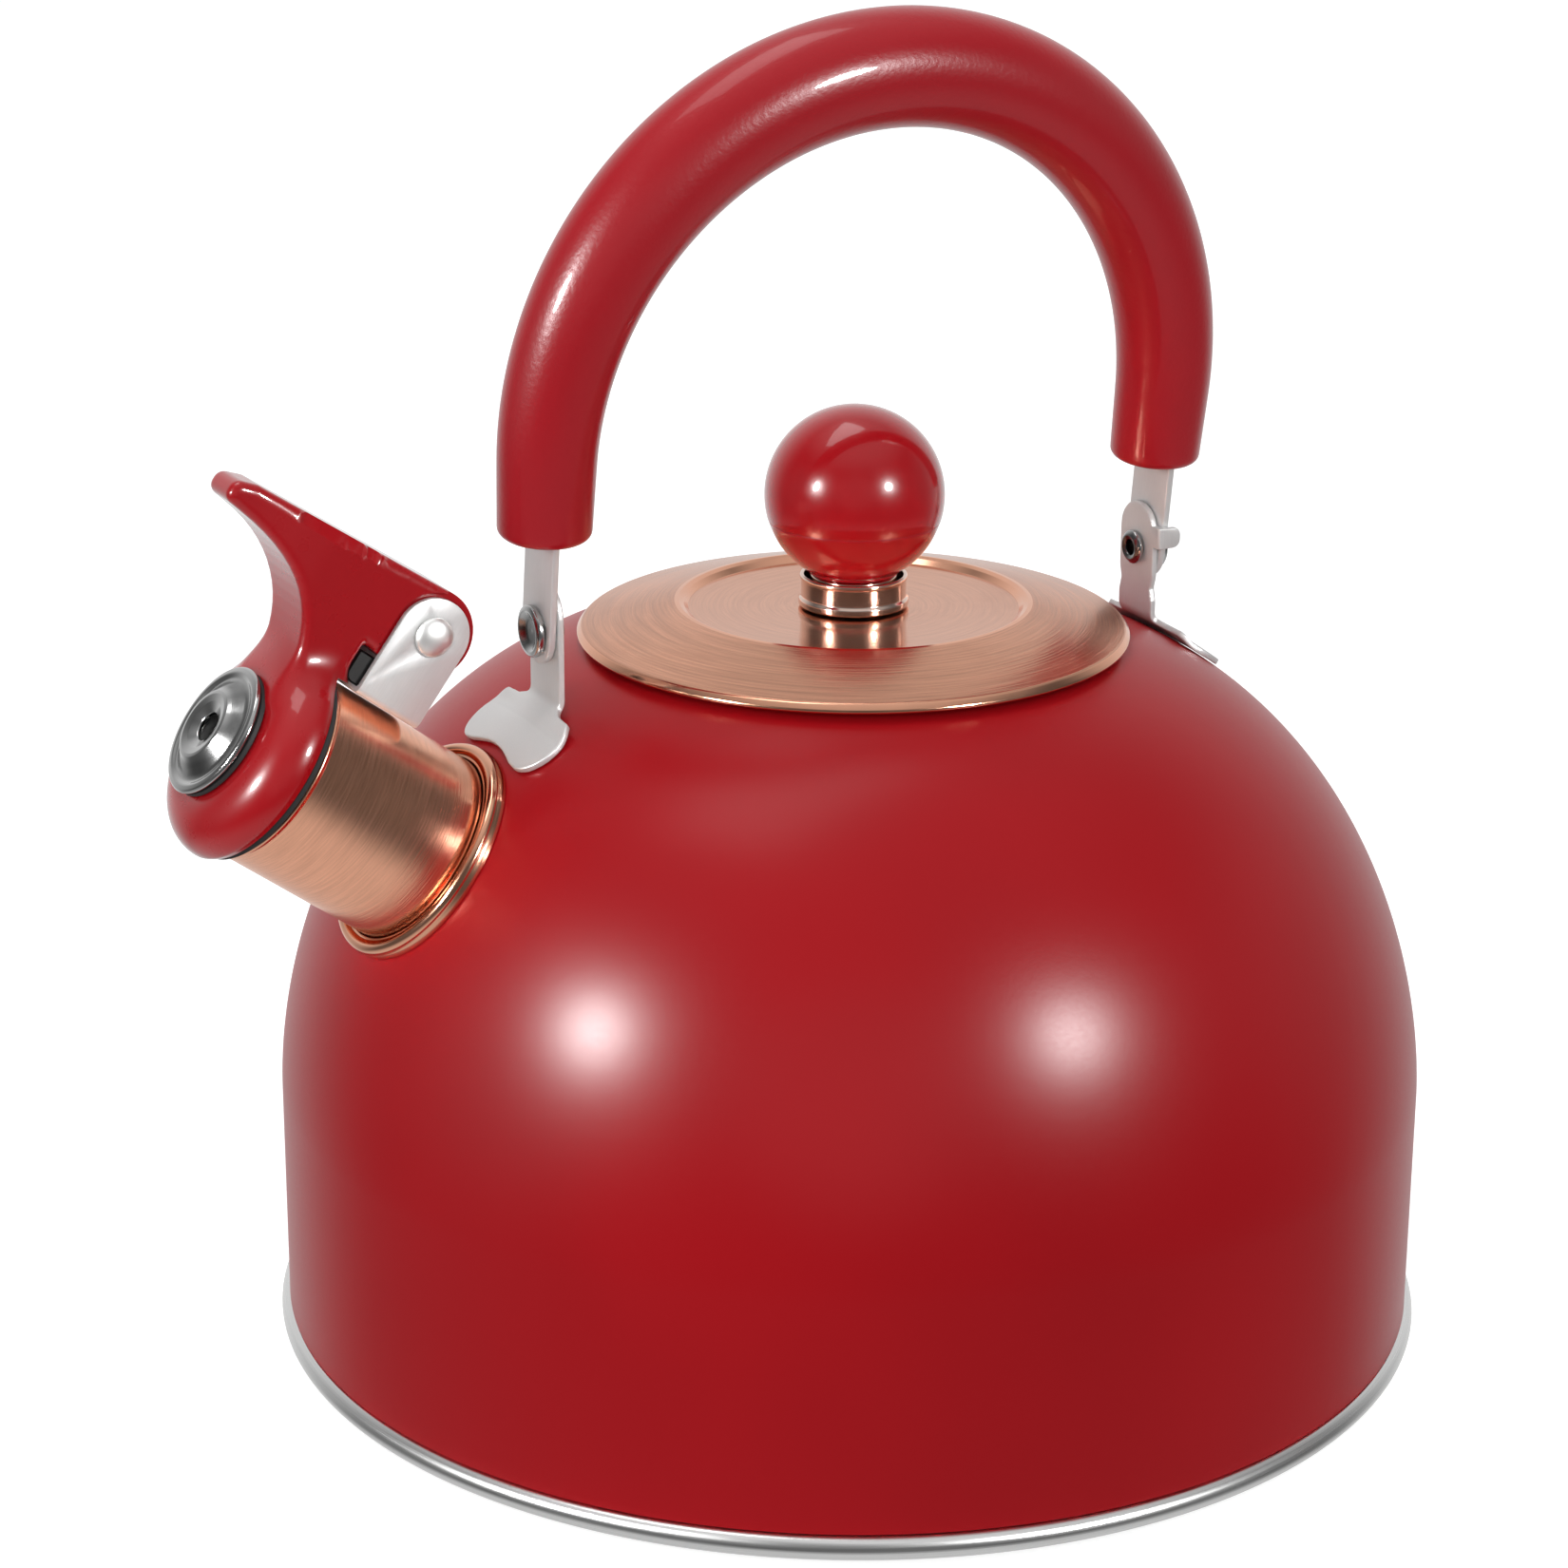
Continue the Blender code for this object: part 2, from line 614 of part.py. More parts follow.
def make_spring(hinge):
    """A torsion spring round the pin: one leg reaches forward under the lever, the other down to the block."""
    points = [(SPRING_RADIUS, SPRING_HALF_LENGTH, SPRING_FRONT_LEG)]
    steps = SPRING_STEPS_A_TURN * SPRING_TURNS - SPRING_STEPS_A_TURN // 4
    for i in range(steps + 1):
        angle = 2 * math.pi * i / SPRING_STEPS_A_TURN
        across = SPRING_HALF_LENGTH * (1 - 2 * i / steps)
        points.append((SPRING_RADIUS * math.cos(angle), across, -SPRING_RADIUS * math.sin(angle)))
    points.append((-SPRING_BACK_LEG, -SPRING_HALF_LENGTH, SPRING_RADIUS))
    curve = bpy.data.curves.new("hinge_spring", "CURVE")
    curve.dimensions = "3D"
    curve.bevel_depth = SPRING_WIRE
    curve.bevel_resolution = 1
    curve.use_fill_caps = True
    spline = curve.splines.new("POLY")
    spline.points.add(len(points) - 1)
    for spot, point in zip(spline.points, points):
        spot.co = (*point, 1.0)
    add_piece("hinge_spring", curve, BRIGHT_STEEL, hinge)


def horn_half_width(above, along):
    """The lever's half width: full at the cap, narrowing smoothly towards the tip."""
    along += HINGE_ALONG
    t = min(max((along - HORN_TAPER_START) / (HORN_TIP - HORN_TAPER_START), 0.0), 1.0)
    smooth = t * t * (3 - 2 * t)
    return HORN_HALF_WIDTH + (HORN_TIP_HALF_WIDTH - HORN_HALF_WIDTH) * smooth


def from_hinge(points):
    """(along, above) points from the spout's axis, as (x, z) points from the hinge."""
    return [(above - HINGE_ABOVE, along - HINGE_ALONG) for along, above in points]


def front_curve():
    """The concave front of the lever, (along, above), from the tip down to the cap's face."""
    tip = Vector((HORN_TIP - 0.0006, 0.0321))
    pull = Vector((0.0350, 0.0312))
    hold = Vector((0.0293, 0.0215))
    root = Vector((0.0292, 0.0114))
    points = []
    for i in range(11):
        t = i / 10
        point = (1 - t) ** 3 * tip + 3 * t * (1 - t) ** 2 * pull + 3 * t * t * (1 - t) * hold + t**3 * root
        points.append((point.x, point.y))
    return points


def make_lever(hinge):
    bulge = arc((0.0, 0.0), 1.0, 90, 0, 8)
    face = CAP_BULGE_RADIUS - CAP_FACE_RADIUS
    depth = CAP_FRONT - CAP_BULGE
    shoulder = [(CAP_FACE_RADIUS + face * x, CAP_BULGE + depth * y) for x, y in bulge]
    cap = [
        (CAP_HOLE, CAP_FRONT),
        *shoulder,
        (CAP_REAR_RADIUS, CAP_REAR),
        (CAP_BORE, CAP_REAR),
        (CAP_BORE, CAP_BORE_END),
        (CAP_HOLE, CAP_BORE_END),
    ]
    cap_axis = add_empty("cap_axis", (-HINGE_ABOVE, 0.0, 0.0), parent=hinge)
    lever = turned("whistle_lever", cap, RED_GLOSS, MEDIUM, cap_axis, HINGE_ALONG)

    recess = KNUCKLE_RADIUS - 0.0004
    recess_arc = arc((HINGE_ALONG, HINGE_ABOVE), recess, 88, 12, 6)
    horn = [
        (HORN_TIP, 0.0330),
        (HORN_TIP - 0.0004, 0.0350),
        (HORN_TIP - 0.0018, 0.0364),
        (HINGE_ALONG + 0.0002, HINGE_ABOVE + KNUCKLE_RADIUS),
        *recess_arc,
        (HINGE_ALONG + recess, SLOT_TOP),
        (SLOT_START, SLOT_TOP),
        (SLOT_START, SLOT_BOTTOM),
        (CAP_REAR + 0.0002, 0.0172),
        (CAP_REAR + 0.0002, 0.0150),
        *reversed(front_curve()),
    ]
    horn_solid = prism(from_hinge(horn), horn_half_width)
    edges = [e for e in horn_solid.edges if abs(e.verts[0].co.y - e.verts[1].co.y) < 0.004]
    bmesh.ops.bevel(
        horn_solid,
        geom=edges,
        offset=HORN_EDGE,
        offset_type="OFFSET",
        segments=2,
        profile=0.5,
        affect="EDGES",
        clamp_overlap=True,
    )
    combine(lever, helper("horn_tool", mesh_from(horn_solid, "horn_tool"), hinge), "UNION")

    knuckle = [
        *arc((HINGE_ALONG, HINGE_ABOVE), KNUCKLE_RADIUS, 90, 270, 12),
        (0.0215, HINGE_ABOVE - KNUCKLE_RADIUS + 0.0008),
        (0.0240, 0.0300),
        (0.0240, 0.0370),
    ]
    knuckle_solid = prism(from_hinge(knuckle), lambda x, z: KNUCKLE_HALF_WIDTH)
    combine(lever, helper("knuckle_tool", mesh_from(knuckle_solid, "knuckle_tool"), hinge), "UNION")

    pocket = from_hinge(
        [
            (SPRING_POCKET_START, SPRING_POCKET_BOTTOM),
            (SPRING_POCKET_START, SPRING_POCKET_TOP),
            (SPRING_POCKET_END, SPRING_POCKET_TOP),
            (SPRING_POCKET_END, SPRING_POCKET_BOTTOM),
        ]
    )
    pocket_solid = prism(pocket, lambda x, z: SPRING_POCKET_HALF_WIDTH)
    combine(lever, helper("pocket_tool", mesh_from(pocket_solid, "pocket_tool"), hinge), "DIFFERENCE")
    across = Matrix.Rotation(math.radians(90), 4, "X")
    bore = rod_mesh("lever_bore_tool", PIN_BORE, 0.030)
    combine(lever, helper("lever_bore_tool", bore, hinge, across), "DIFFERENCE")
    cavity_length = CAP_BORE_END - CAP_REAR + 0.010
    cavity = rod_mesh("cap_cavity_tool", CAP_BORE, cavity_length, MEDIUM)
    middle = CAP_BORE_END - 0.5 * cavity_length - HINGE_ALONG
    place = Matrix.Translation((-HINGE_ABOVE, 0.0, middle))
    combine(lever, helper("cap_cavity_tool", cavity, hinge, place), "DIFFERENCE")
    return cap_axis


def make_whistle(cap_axis):
    shift = HINGE_ALONG
    rear = TUBE_END - 0.0002
    shoulder = CAP_BORE_END - GAP
    flange_back = CAP_FRONT + GAP
    flange_front = flange_back + CORE_FLANGE_THICKNESS
    core = [
        (CORE_PLUG_BORE, flange_front),
        (CORE_FLANGE_RADIUS, flange_front),
        (CORE_FLANGE_RADIUS, flange_back),
        (CORE_NECK_RADIUS, flange_back),
        (CORE_NECK_RADIUS, shoulder),
        (CORE_PLUG_RADIUS, shoulder),
        (CORE_PLUG_RADIUS, rear),
        (CORE_PLUG_BORE - CORE_LIP, rear),
        (CORE_PLUG_BORE - CORE_LIP, rear + CORE_LIP),
        (CORE_PLUG_BORE, rear + CORE_LIP),
    ]
    turned("whistle_core", core, BLACK, MEDIUM, cap_axis, shift)

    seal_bottom = TUBE_END + GAP
    seal_top = CAP_REAR - GAP
    seal = [
        (CORE_PLUG_RADIUS + GAP, seal_top),
        (SEAL_RADIUS, seal_top),
        (SEAL_RADIUS, seal_bottom),
        (CORE_PLUG_RADIUS + GAP, seal_bottom),
    ]
    turned("spout_seal", seal, RUBBER, MEDIUM, cap_axis, shift)

    back = flange_front + GAP
    throat = CORE_PLUG_BORE - GAP
    bezel = [
        (BEZEL_HOLE, back + 0.0018),
        (0.0042, back + 0.0024),
        (0.0056, back + 0.0028),
        (0.0070, back + 0.0024),
        (0.0083, back + 0.0014),
        (0.0091, back + 0.0007),
        (0.0099, back + 0.0010),
        (BEZEL_RADIUS - 0.0005, back + 0.0009),
        (BEZEL_RADIUS, back + 0.0005),
        (BEZEL_RADIUS - 0.0002, back),
        (throat, back),
        (throat, BEZEL_THROAT_REAR),
        (throat - BEZEL_THROAT_SHEET, BEZEL_THROAT_REAR),
        (throat - BEZEL_THROAT_SHEET, back),
        (0.0058, back + 0.0021),
        (BEZEL_HOLE, back + 0.0012),
    ]
    turned("whistle_bezel", bezel, BRIGHT_STEEL, MEDIUM, cap_axis, shift)

    plate = [
        (BACK_PLATE_HOLE, BACK_PLATE_FRONT),
        (throat, BACK_PLATE_FRONT),
        (throat, BACK_PLATE_REAR),
        (BACK_PLATE_HOLE, BACK_PLATE_REAR),
    ]
    turned("whistle_back_plate", plate, BRIGHT_STEEL, SMALL, cap_axis, shift)


# ---- handle ----


def arch_path(half_span, end_half_span, bottom, leg_steps, arch_steps):
    """(x, height) points from the -X end over the top to the +X end, heights from the pivots."""
    leg = []
    for i in range(leg_steps):
        t = i / leg_steps
        leg.append((end_half_span + (half_span - end_half_span) * t, bottom + (LEG_TOP - bottom) * t))
    path = [(-x, height) for x, height in leg]
    for i in range(arch_steps + 1):
        angle = math.pi * (1 - i / arch_steps)
        path.append((half_span * math.cos(angle), LEG_TOP + ARCH_RISE * math.sin(angle)))
    return path + [(x, height) for x, height in reversed(leg)]


def path_normals(path):
    """Outward unit normals in the arch's plane."""
    normals = []
    for i in range(len(path)):
        before = Vector(path[max(i - 1, 0)])
        after = Vector(path[min(i + 1, len(path) - 1)])
        along = (after - before).normalized()
        normals.append(Vector((-along.y, along.x)))
    return normals


def swept(path, sections):
    """A solid whose cross-section at each path point is a list of (outward, across) points."""
    bm = bmesh.new()
    rings = []
    for (x, height), normal, section in zip(path, path_normals(path), sections):
        ring = []
        for outward, across in section:
            ring.append(bm.verts.new((x + normal.x * outward, across, height + normal.y * outward)))
        rings.append(ring)
    for here, there in zip(rings, rings[1:]):
        for j in range(len(here)):
            k = (j + 1) % len(here)
            bm.faces.new((here[j], here[k], there[k], there[j]))
    bm.faces.new(rings[0])
    bm.faces.new(rings[-1])
    return bm


def strip_section(half_thickness, half_width):
    return [
        (half_thickness, -half_width),
        (half_thickness, half_width),
        (-half_thickness, half_width),
        (-half_thickness, -half_width),
    ]


def make_handle(pivot):
    grip_path = arch_path(ARCH_HALF_SPAN, GRIP_END_HALF_SPAN, GRIP_BOTTOM, 2, 24)
    edge = (grip_path[0][0], GRIP_BOTTOM + GRIP_EDGE)
    grip_path = [grip_path[0], edge, *grip_path[1:-1], (-edge[0], edge[1]), grip_path[-1]]
    sections = []
    for i in range(len(grip_path)):
        t = i / (len(grip_path) - 1)
        radius = GRIP_END_RADIUS + (GRIP_TOP_RADIUS - GRIP_END_RADIUS) * math.sin(math.pi * t)
        if i in (0, len(grip_path) - 1):
            radius -= GRIP_EDGE
        sections.append(arc((0.0, 0.0), radius, 0, 360 - 360 / GRIP_SIDES, GRIP_SIDES - 1))
    grip_mesh = mesh_from(swept(grip_path, sections), "handle_grip")
    grip = add_piece("handle_grip", grip_mesh, RED_GLOSS, pivot)

    slot_path = arch_path(STRAP_HALF_SPAN, STRAP_HALF_SPAN, 0.0, 3, 24)
    slot = strip_section(0.5 * STRAP_THICKNESS + GAP, STRAP_HALF_WIDTH + GAP)
    slot_mesh = mesh_from(swept(slot_path, [slot] * len(slot_path)), "grip_slot_tool")
    combine(grip, helper("grip_slot_tool", slot_mesh, pivot), "DIFFERENCE")

    end_steps = 7
    quarter = [math.radians(90 * i / end_steps) for i in range(1, end_steps + 1)]
    ends = [STRAP_HALF_WIDTH * math.sin(a) for a in quarter]
    drops = [STRAP_HALF_WIDTH * math.cos(a) for a in quarter]
    middle = slot_path[1:-1]
    left = [(-STRAP_HALF_SPAN, -drop) for drop in drops]
    right = [(STRAP_HALF_SPAN, -drop) for drop in reversed(drops)]
    widths = ends + [STRAP_HALF_WIDTH] * len(middle) + list(reversed(ends))
    strap_sections = [strip_section(0.5 * STRAP_THICKNESS, width) for width in widths]
    strap_mesh = mesh_from(swept(left + middle + right, strap_sections), "handle_strap")
    strap = add_piece("handle_strap", strap_mesh, STEEL, pivot)
    along_x = Matrix.Rotation(math.radians(90), 4, "Y")
    bore = rod_mesh("strap_bore_tool", RIVET_BORE, 0.150)
    combine(strap, helper("strap_bore_tool", bore, pivot, along_x), "DIFFERENCE")


def foot_half_outline():
    """Half of the bracket's foot in plan, (outward from the kettle's axis, sideways), from neck to middle."""
    lobe = arc(FOOT_LOBE_CENTRE, FOOT_LOBE_RADIUS, 170, 10, 8)
    return lobe + [
        (FOOT_FRONT_MIDDLE + 0.0009, 0.0076),
        (FOOT_FRONT_MIDDLE + 0.0004, 0.0040),
        (FOOT_FRONT_MIDDLE, 0.0),
    ]


def side_block(name, outline, low, high, parent):
    """A helper that extrudes an (x, z) outline between two places across Y."""
    block = prism(outline, lambda x, z: 0.5 * (high - low))
    bmesh.ops.translate(block, verts=block.verts, vec=(0.0, 0.5 * (high + low), 0.0))
    return helper(name, mesh_from(block, name), parent)


def make_bracket(name, turn, arm_half_width, with_stop):
    """A sheet arm that stands beside the lid and bends out into a winged foot that hugs the dome."""
    half = foot_half_outline()
    other_half = [(x, -y) for x, y in reversed(half[:-1])]
    outline = [(FOOT_NECK, arm_half_width), *half, *other_half, (FOOT_NECK, -arm_half_width)]
    bm = bmesh.new()
    flat = bm.faces.new([bm.verts.new((x, y, 0.0)) for x, y in outline])
    bmesh.ops.triangulate(bm, faces=[flat])
    bmesh.ops.subdivide_edges(bm, edges=bm.edges, cuts=1, use_grid_fill=True)
    bmesh.ops.triangulate(bm, faces=bm.faces)
    lower = list(bm.faces)
    upper = bmesh.ops.duplicate(bm, geom=list(bm.verts) + list(bm.edges) + lower)
    top_verts = [e for e in upper["geom"] if isinstance(e, bmesh.types.BMVert)]
    for vert in bm.verts:
        vert.co.z = dome_height(math.hypot(vert.co.x, vert.co.y)) + 1.3 * GAP
    for vert in top_verts:
        vert.co.z += FOOT_THICKNESS * 1.15
    edges = [e for e in bm.edges if e.is_boundary]
    bmesh.ops.bridge_loops(bm, edges=edges)
    bmesh.ops.triangulate(bm, faces=[f for f in bm.faces if len(f.verts) > 3])
    foot_mesh = mesh_from(bm, name + "_foot_tool")

    arm_foot = dome_height(FOOT_NECK) + 0.0009
    crown = BRACKET_TOP - arm_half_width
    section = [
        (BRACKET_INNER, arm_foot + 0.0022),
        (FOOT_NECK - 0.0008, arm_foot - 0.0002),
        (FOOT_NECK + 0.0024, arm_foot - 0.0010),
        (FOOT_NECK + 0.0026, arm_foot - 0.0001),
        (FOOT_NECK, arm_foot + 0.0010),
        (BRACKET_OUTER, arm_foot + 0.0028),
        (BRACKET_OUTER, crown),
        (BRACKET_INNER, crown),
    ]
    arm = mesh_from(prism(section, lambda x, z: arm_half_width), name)
    pole = add_empty(name + "_stand", (0.0, 0.0, 0.0), (0.0, 0.0, turn))
    bracket = add_piece(name, arm, STEEL, pole)
    combine(bracket, helper(name + "_foot_tool", foot_mesh, pole), "UNION")

    middle = 0.5 * (BRACKET_INNER + BRACKET_OUTER)
    along_x = Matrix.Rotation(math.radians(90), 4, "Y")
    top = rod_mesh(name + "_crown_tool", arm_half_width, BRACKET_OUTER - BRACKET_INNER, 32)
    crown_place = Matrix.Translation((middle, 0.0, crown)) @ along_x
    combine(bracket, helper(name + "_crown_tool", top, pole, crown_place), "UNION")
    if with_stop:
        hook = [
            (BRACKET_INNER, STOP_LOW),
            (STOP_REACH - STOP_CORNER, STOP_LOW),
            (STOP_REACH, STOP_LOW + STOP_CORNER),
            (STOP_REACH, STOP_HIGH - STOP_CORNER),
            (STOP_REACH - STOP_CORNER, STOP_HIGH),
            (BRACKET_INNER, STOP_HIGH),
        ]
        root = [
            (BRACKET_INNER, STOP_LOW),
            (BRACKET_OUTER, STOP_LOW),
            (BRACKET_OUTER, STOP_HIGH),
            (BRACKET_INNER, STOP_HIGH),
        ]
        far = STOP_FACE + FOOT_THICKNESS
        combine(bracket, side_block(name + "_stop_tool", hook, -far, -STOP_FACE, pole), "UNION")
        overlap = FOOT_THICKNESS - arm_half_width
        combine(bracket, side_block(name + "_root_tool", root, -far, overlap, pole), "UNION")
    bore = rod_mesh(name + "_bore_tool", RIVET_BORE, 0.010)
    place = Matrix.Translation((middle, 0.0, PIVOT_HEIGHT)) @ along_x
    combine(bracket, helper(name + "_bore_tool", bore, pole, place), "DIFFERENCE")


def make_rivet(name, side):
    """A semi-tubular rivet: a dished head outside the strap and a rolled end inside the bracket."""
    head = STRAP_HALF_SPAN + 0.5 * STRAP_THICKNESS + GAP
    tail = BRACKET_INNER - GAP
    profile = [
        (0.0, head + 0.4 * RIVET_HEAD_HEIGHT),
        (0.55 * RIVET_HEAD_RADIUS, head + 0.45 * RIVET_HEAD_HEIGHT),
        (0.77 * RIVET_HEAD_RADIUS, head + RIVET_HEAD_HEIGHT),
        (0.95 * RIVET_HEAD_RADIUS, head + 0.77 * RIVET_HEAD_HEIGHT),
        (RIVET_HEAD_RADIUS, head),
        (RIVET_RADIUS, head),
        (RIVET_RADIUS, tail),
        (RIVET_TAIL_RADIUS, tail),
        (RIVET_TAIL_RADIUS, tail - 0.5 * RIVET_TAIL_HEIGHT),
        (0.73 * RIVET_TAIL_RADIUS, tail - RIVET_TAIL_HEIGHT),
        (RIVET_TAIL_BORE, tail - 0.86 * RIVET_TAIL_HEIGHT),
        (RIVET_TAIL_BORE, tail + 2 * GAP),
        (0.0, tail + 2 * GAP),
    ]
    rivet = turned(name, profile, BRIGHT_STEEL, SMALL)
    rivet.location = (0.0, 0.0, PIVOT_HEIGHT)
    rivet.rotation_euler = (0.0, math.radians(90) * side, 0.0)


def build():
    clear_scene()
    tilt = SPOUT_RISE - math.radians(90)
    spout = add_empty("spout_axis", SPOUT_ROOT, (0.0, tilt, 0.0))
    hinge = add_empty("whistle_hinge", (HINGE_ABOVE, 0.0, HINGE_ALONG), parent=spout)
    seat = add_empty("lid_seat", (0.0, 0.0, LID_SEAT_HEIGHT))
    pivot = add_empty("handle_pivot", (0.0, 0.0, PIVOT_HEIGHT), (HANDLE_LEAN, 0.0, 0.0))
    make_body(spout)
    make_base()
    make_spout(spout)
    make_hinge(spout, hinge)
    make_whistle(make_lever(hinge))
    make_lid(seat)
    make_knob(seat)
    make_handle(pivot)
    make_bracket("bracket_front", math.pi, 0.0058, False)
    make_bracket("bracket_rear", 0.0, 0.0053, True)
    make_rivet("rivet_front", -1)
    make_rivet("rivet_rear", 1)


build()
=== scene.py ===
"""Finished surfaces of a stove-top whistling kettle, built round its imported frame.

Metres, +Z up, the origin at the centre of the underside. The spout points along -X and the handle
folds towards +Y. Pieces on the spout are made in the spout's own frame: local Z runs out along its
axis and local X points above it."""

import json
import math

import bmesh
import bpy
import numpy as np
from bpy.props import FloatProperty, FloatVectorProperty, IntProperty, PointerProperty
from bpy.types import Operator, Panel, PropertyGroup
from mathutils import Matrix, Vector


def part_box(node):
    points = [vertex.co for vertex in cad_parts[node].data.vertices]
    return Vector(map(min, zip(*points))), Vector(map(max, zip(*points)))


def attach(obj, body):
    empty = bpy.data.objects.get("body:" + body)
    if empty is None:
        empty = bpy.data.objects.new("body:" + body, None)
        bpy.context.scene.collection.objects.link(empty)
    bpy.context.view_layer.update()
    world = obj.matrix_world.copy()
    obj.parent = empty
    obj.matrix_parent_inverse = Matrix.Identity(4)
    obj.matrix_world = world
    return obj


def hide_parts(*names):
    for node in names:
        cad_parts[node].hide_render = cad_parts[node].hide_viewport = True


bl_info = {
    "name": "Whistling kettle",
    "version": (1, 0, 0),
    "blender": (4, 5, 0),
    "location": "3D View > Sidebar > Kettle",
    "description": "Builds the finished surfaces of a whistling kettle round its frame",
    "category": "Object",
}

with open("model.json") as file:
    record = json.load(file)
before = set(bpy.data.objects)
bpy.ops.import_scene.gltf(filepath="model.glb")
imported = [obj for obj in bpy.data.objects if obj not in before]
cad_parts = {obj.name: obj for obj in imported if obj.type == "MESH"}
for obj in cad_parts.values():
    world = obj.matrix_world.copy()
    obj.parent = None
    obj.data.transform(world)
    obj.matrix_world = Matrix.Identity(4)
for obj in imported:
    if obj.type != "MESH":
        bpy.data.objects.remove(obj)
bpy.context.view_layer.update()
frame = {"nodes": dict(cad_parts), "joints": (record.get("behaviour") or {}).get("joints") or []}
JOINTS = {joint["name"]: joint for joint in frame["joints"]}
HINGE = Vector(JOINTS["whistle_lift"]["pos_m"])
PIVOT = Vector(JOINTS["handle_fold"]["pos_m"])
BODY = "kettle_body"
HANDLE = "handle"
CAP = "whistle_cap"
LID = "lid"


def high(node):
    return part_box(node)[1]


def low(node):
    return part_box(node)[0]


# ---- what a user would change ----


def length(name, default, description):
    return FloatProperty(
        name=name, description=description, default=default, min=0.0, subtype="DISTANCE", unit="LENGTH"
    )


def angle(name, degrees, description):
    turn = math.radians(degrees)
    return FloatProperty(name=name, description=description, default=turn, subtype="ANGLE", unit="ROTATION")


def colour(name, default, description):
    return FloatVectorProperty(
        name=name, description=description, default=default, subtype="COLOR", size=3, min=0.0, max=1.0
    )


def power(name, default, description):
    return FloatProperty(name=name, description=description, default=default, min=0.0, unit="POWER")


def glow(name, default, description):
    return FloatProperty(name=name, description=description, default=default, min=0.0)


class KettleSizes(PropertyGroup):
    body_radius: length("Body radius", high("body_shell").x, "Outside of the straight wall")
    wall_top: length("Wall top", 0.0447, "Height at which the wall turns into the dome")
    dome_rise: length("Dome rise", 0.08287, "Height of the whole dome above the wall")
    neck_radius: length("Neck radius", 0.0416, "Inside of the neck that the lid closes")
    sheet: length("Sheet", 0.0008, "Thickness of the body, lid and tube sheet")
    lid_radius: length("Lid radius", high("lid_plate").x, "Outside of the lid's rolled edge")
    recess_radius: length("Recess radius", 0.0284, "Flat mirror floor in the middle of the lid")
    ball_radius: length("Knob radius", high("knob_ball").x, "Ball of the lid's knob")
    spout_rise: angle("Spout rise", 36.6, "Slope of the spout's axis above level")
    hinge_along: length("Hinge along", 0.0120, "Pin's place along the spout's axis from its root")
    hinge_above: length("Hinge above", 0.0311, "Pin's height above the spout's axis")
    tube_radius: length("Tube radius", 0.0166, "Outside of the spout's tube")
    collar_radius: length("Collar radius", high("spout_collar").y, "Outside of the spout's seating bead")
    lean: angle("Handle lean", 7.2, "How far past upright the handle rests")
    leg_top: length("Leg top", 0.0300, "Height above the pivots where the legs turn into the arch")
    arch_span: length("Arch half span", 0.0588, "Half the width of the handle's arch at its centre")
    arch_rise: length("Arch rise", 0.0607, "Height of the arch above its legs")
    grip_end: length("Grip end radius", 0.0078, "Radius of the grip at its two ends")
    grip_top: length("Grip top radius", 0.00975, "Radius of the grip over the lid")
    facets: IntProperty(
        name="Facets", description="Facets round a turned piece", default=192, min=24, max=512
    )


class KettleFinishes(PropertyGroup):
    paint: colour("Body paint", (0.385, 0.0042, 0.0085), "Satin red of the body")
    gloss: colour("Gloss red", (0.43, 0.0035, 0.0085), "Glossy red of the knob and the whistle lever")
    grip: colour("Grip red", (0.330, 0.0050, 0.0110), "Red of the handle's grip")
    copper: colour("Copper", (0.800, 0.405, 0.265), "Brushed copper plate of the lid and the spout")
    pale_copper: colour("Pale copper", (0.800, 0.600, 0.510), "Polished plate of the knob's ferrule")
    steel: colour("Pressed steel", (0.700, 0.700, 0.695), "Satin steel of the straps, brackets and ears")
    bright: colour("Bright steel", (0.740, 0.740, 0.735), "Polished steel of the base ring, rivets and bezel")
    black: colour("Black", (0.006, 0.006, 0.0065), "Moulded black of the whistle's core and seal")


class KettleStage(PropertyGroup):
    floor: colour("Floor", (0.55, 0.55, 0.55), "Pale floor")
    floor_glow: glow("Floor glow", 0.72, "Even light of the white floor")
    lamps: power("Lamps", 17.0, "Power of the left lamp, of the two that gleam on the paint")
    fill: power("Fill", 15.0, "Power of the soft front light")
    softbox: power("Softbox", 3.5, "Power of the overhead softbox")
    sky_back: glow("Back light", 0.70, "Brightness of the studio behind")
    sky_above: glow("Top light", 0.60, "Brightness of the studio above")
    sky_below: glow("Low light", 0.55, "Brightness of the studio below")
    sky_front: glow("Front light", 0.12, "Brightness of the rest of the studio")
    focal: FloatProperty(
        name="Lens", description="Focal length", default=93.477, subtype="DISTANCE_CAMERA", unit="CAMERA"
    )


def sizes():
    return bpy.context.scene.kettle_sizes


# ---- finishes ----


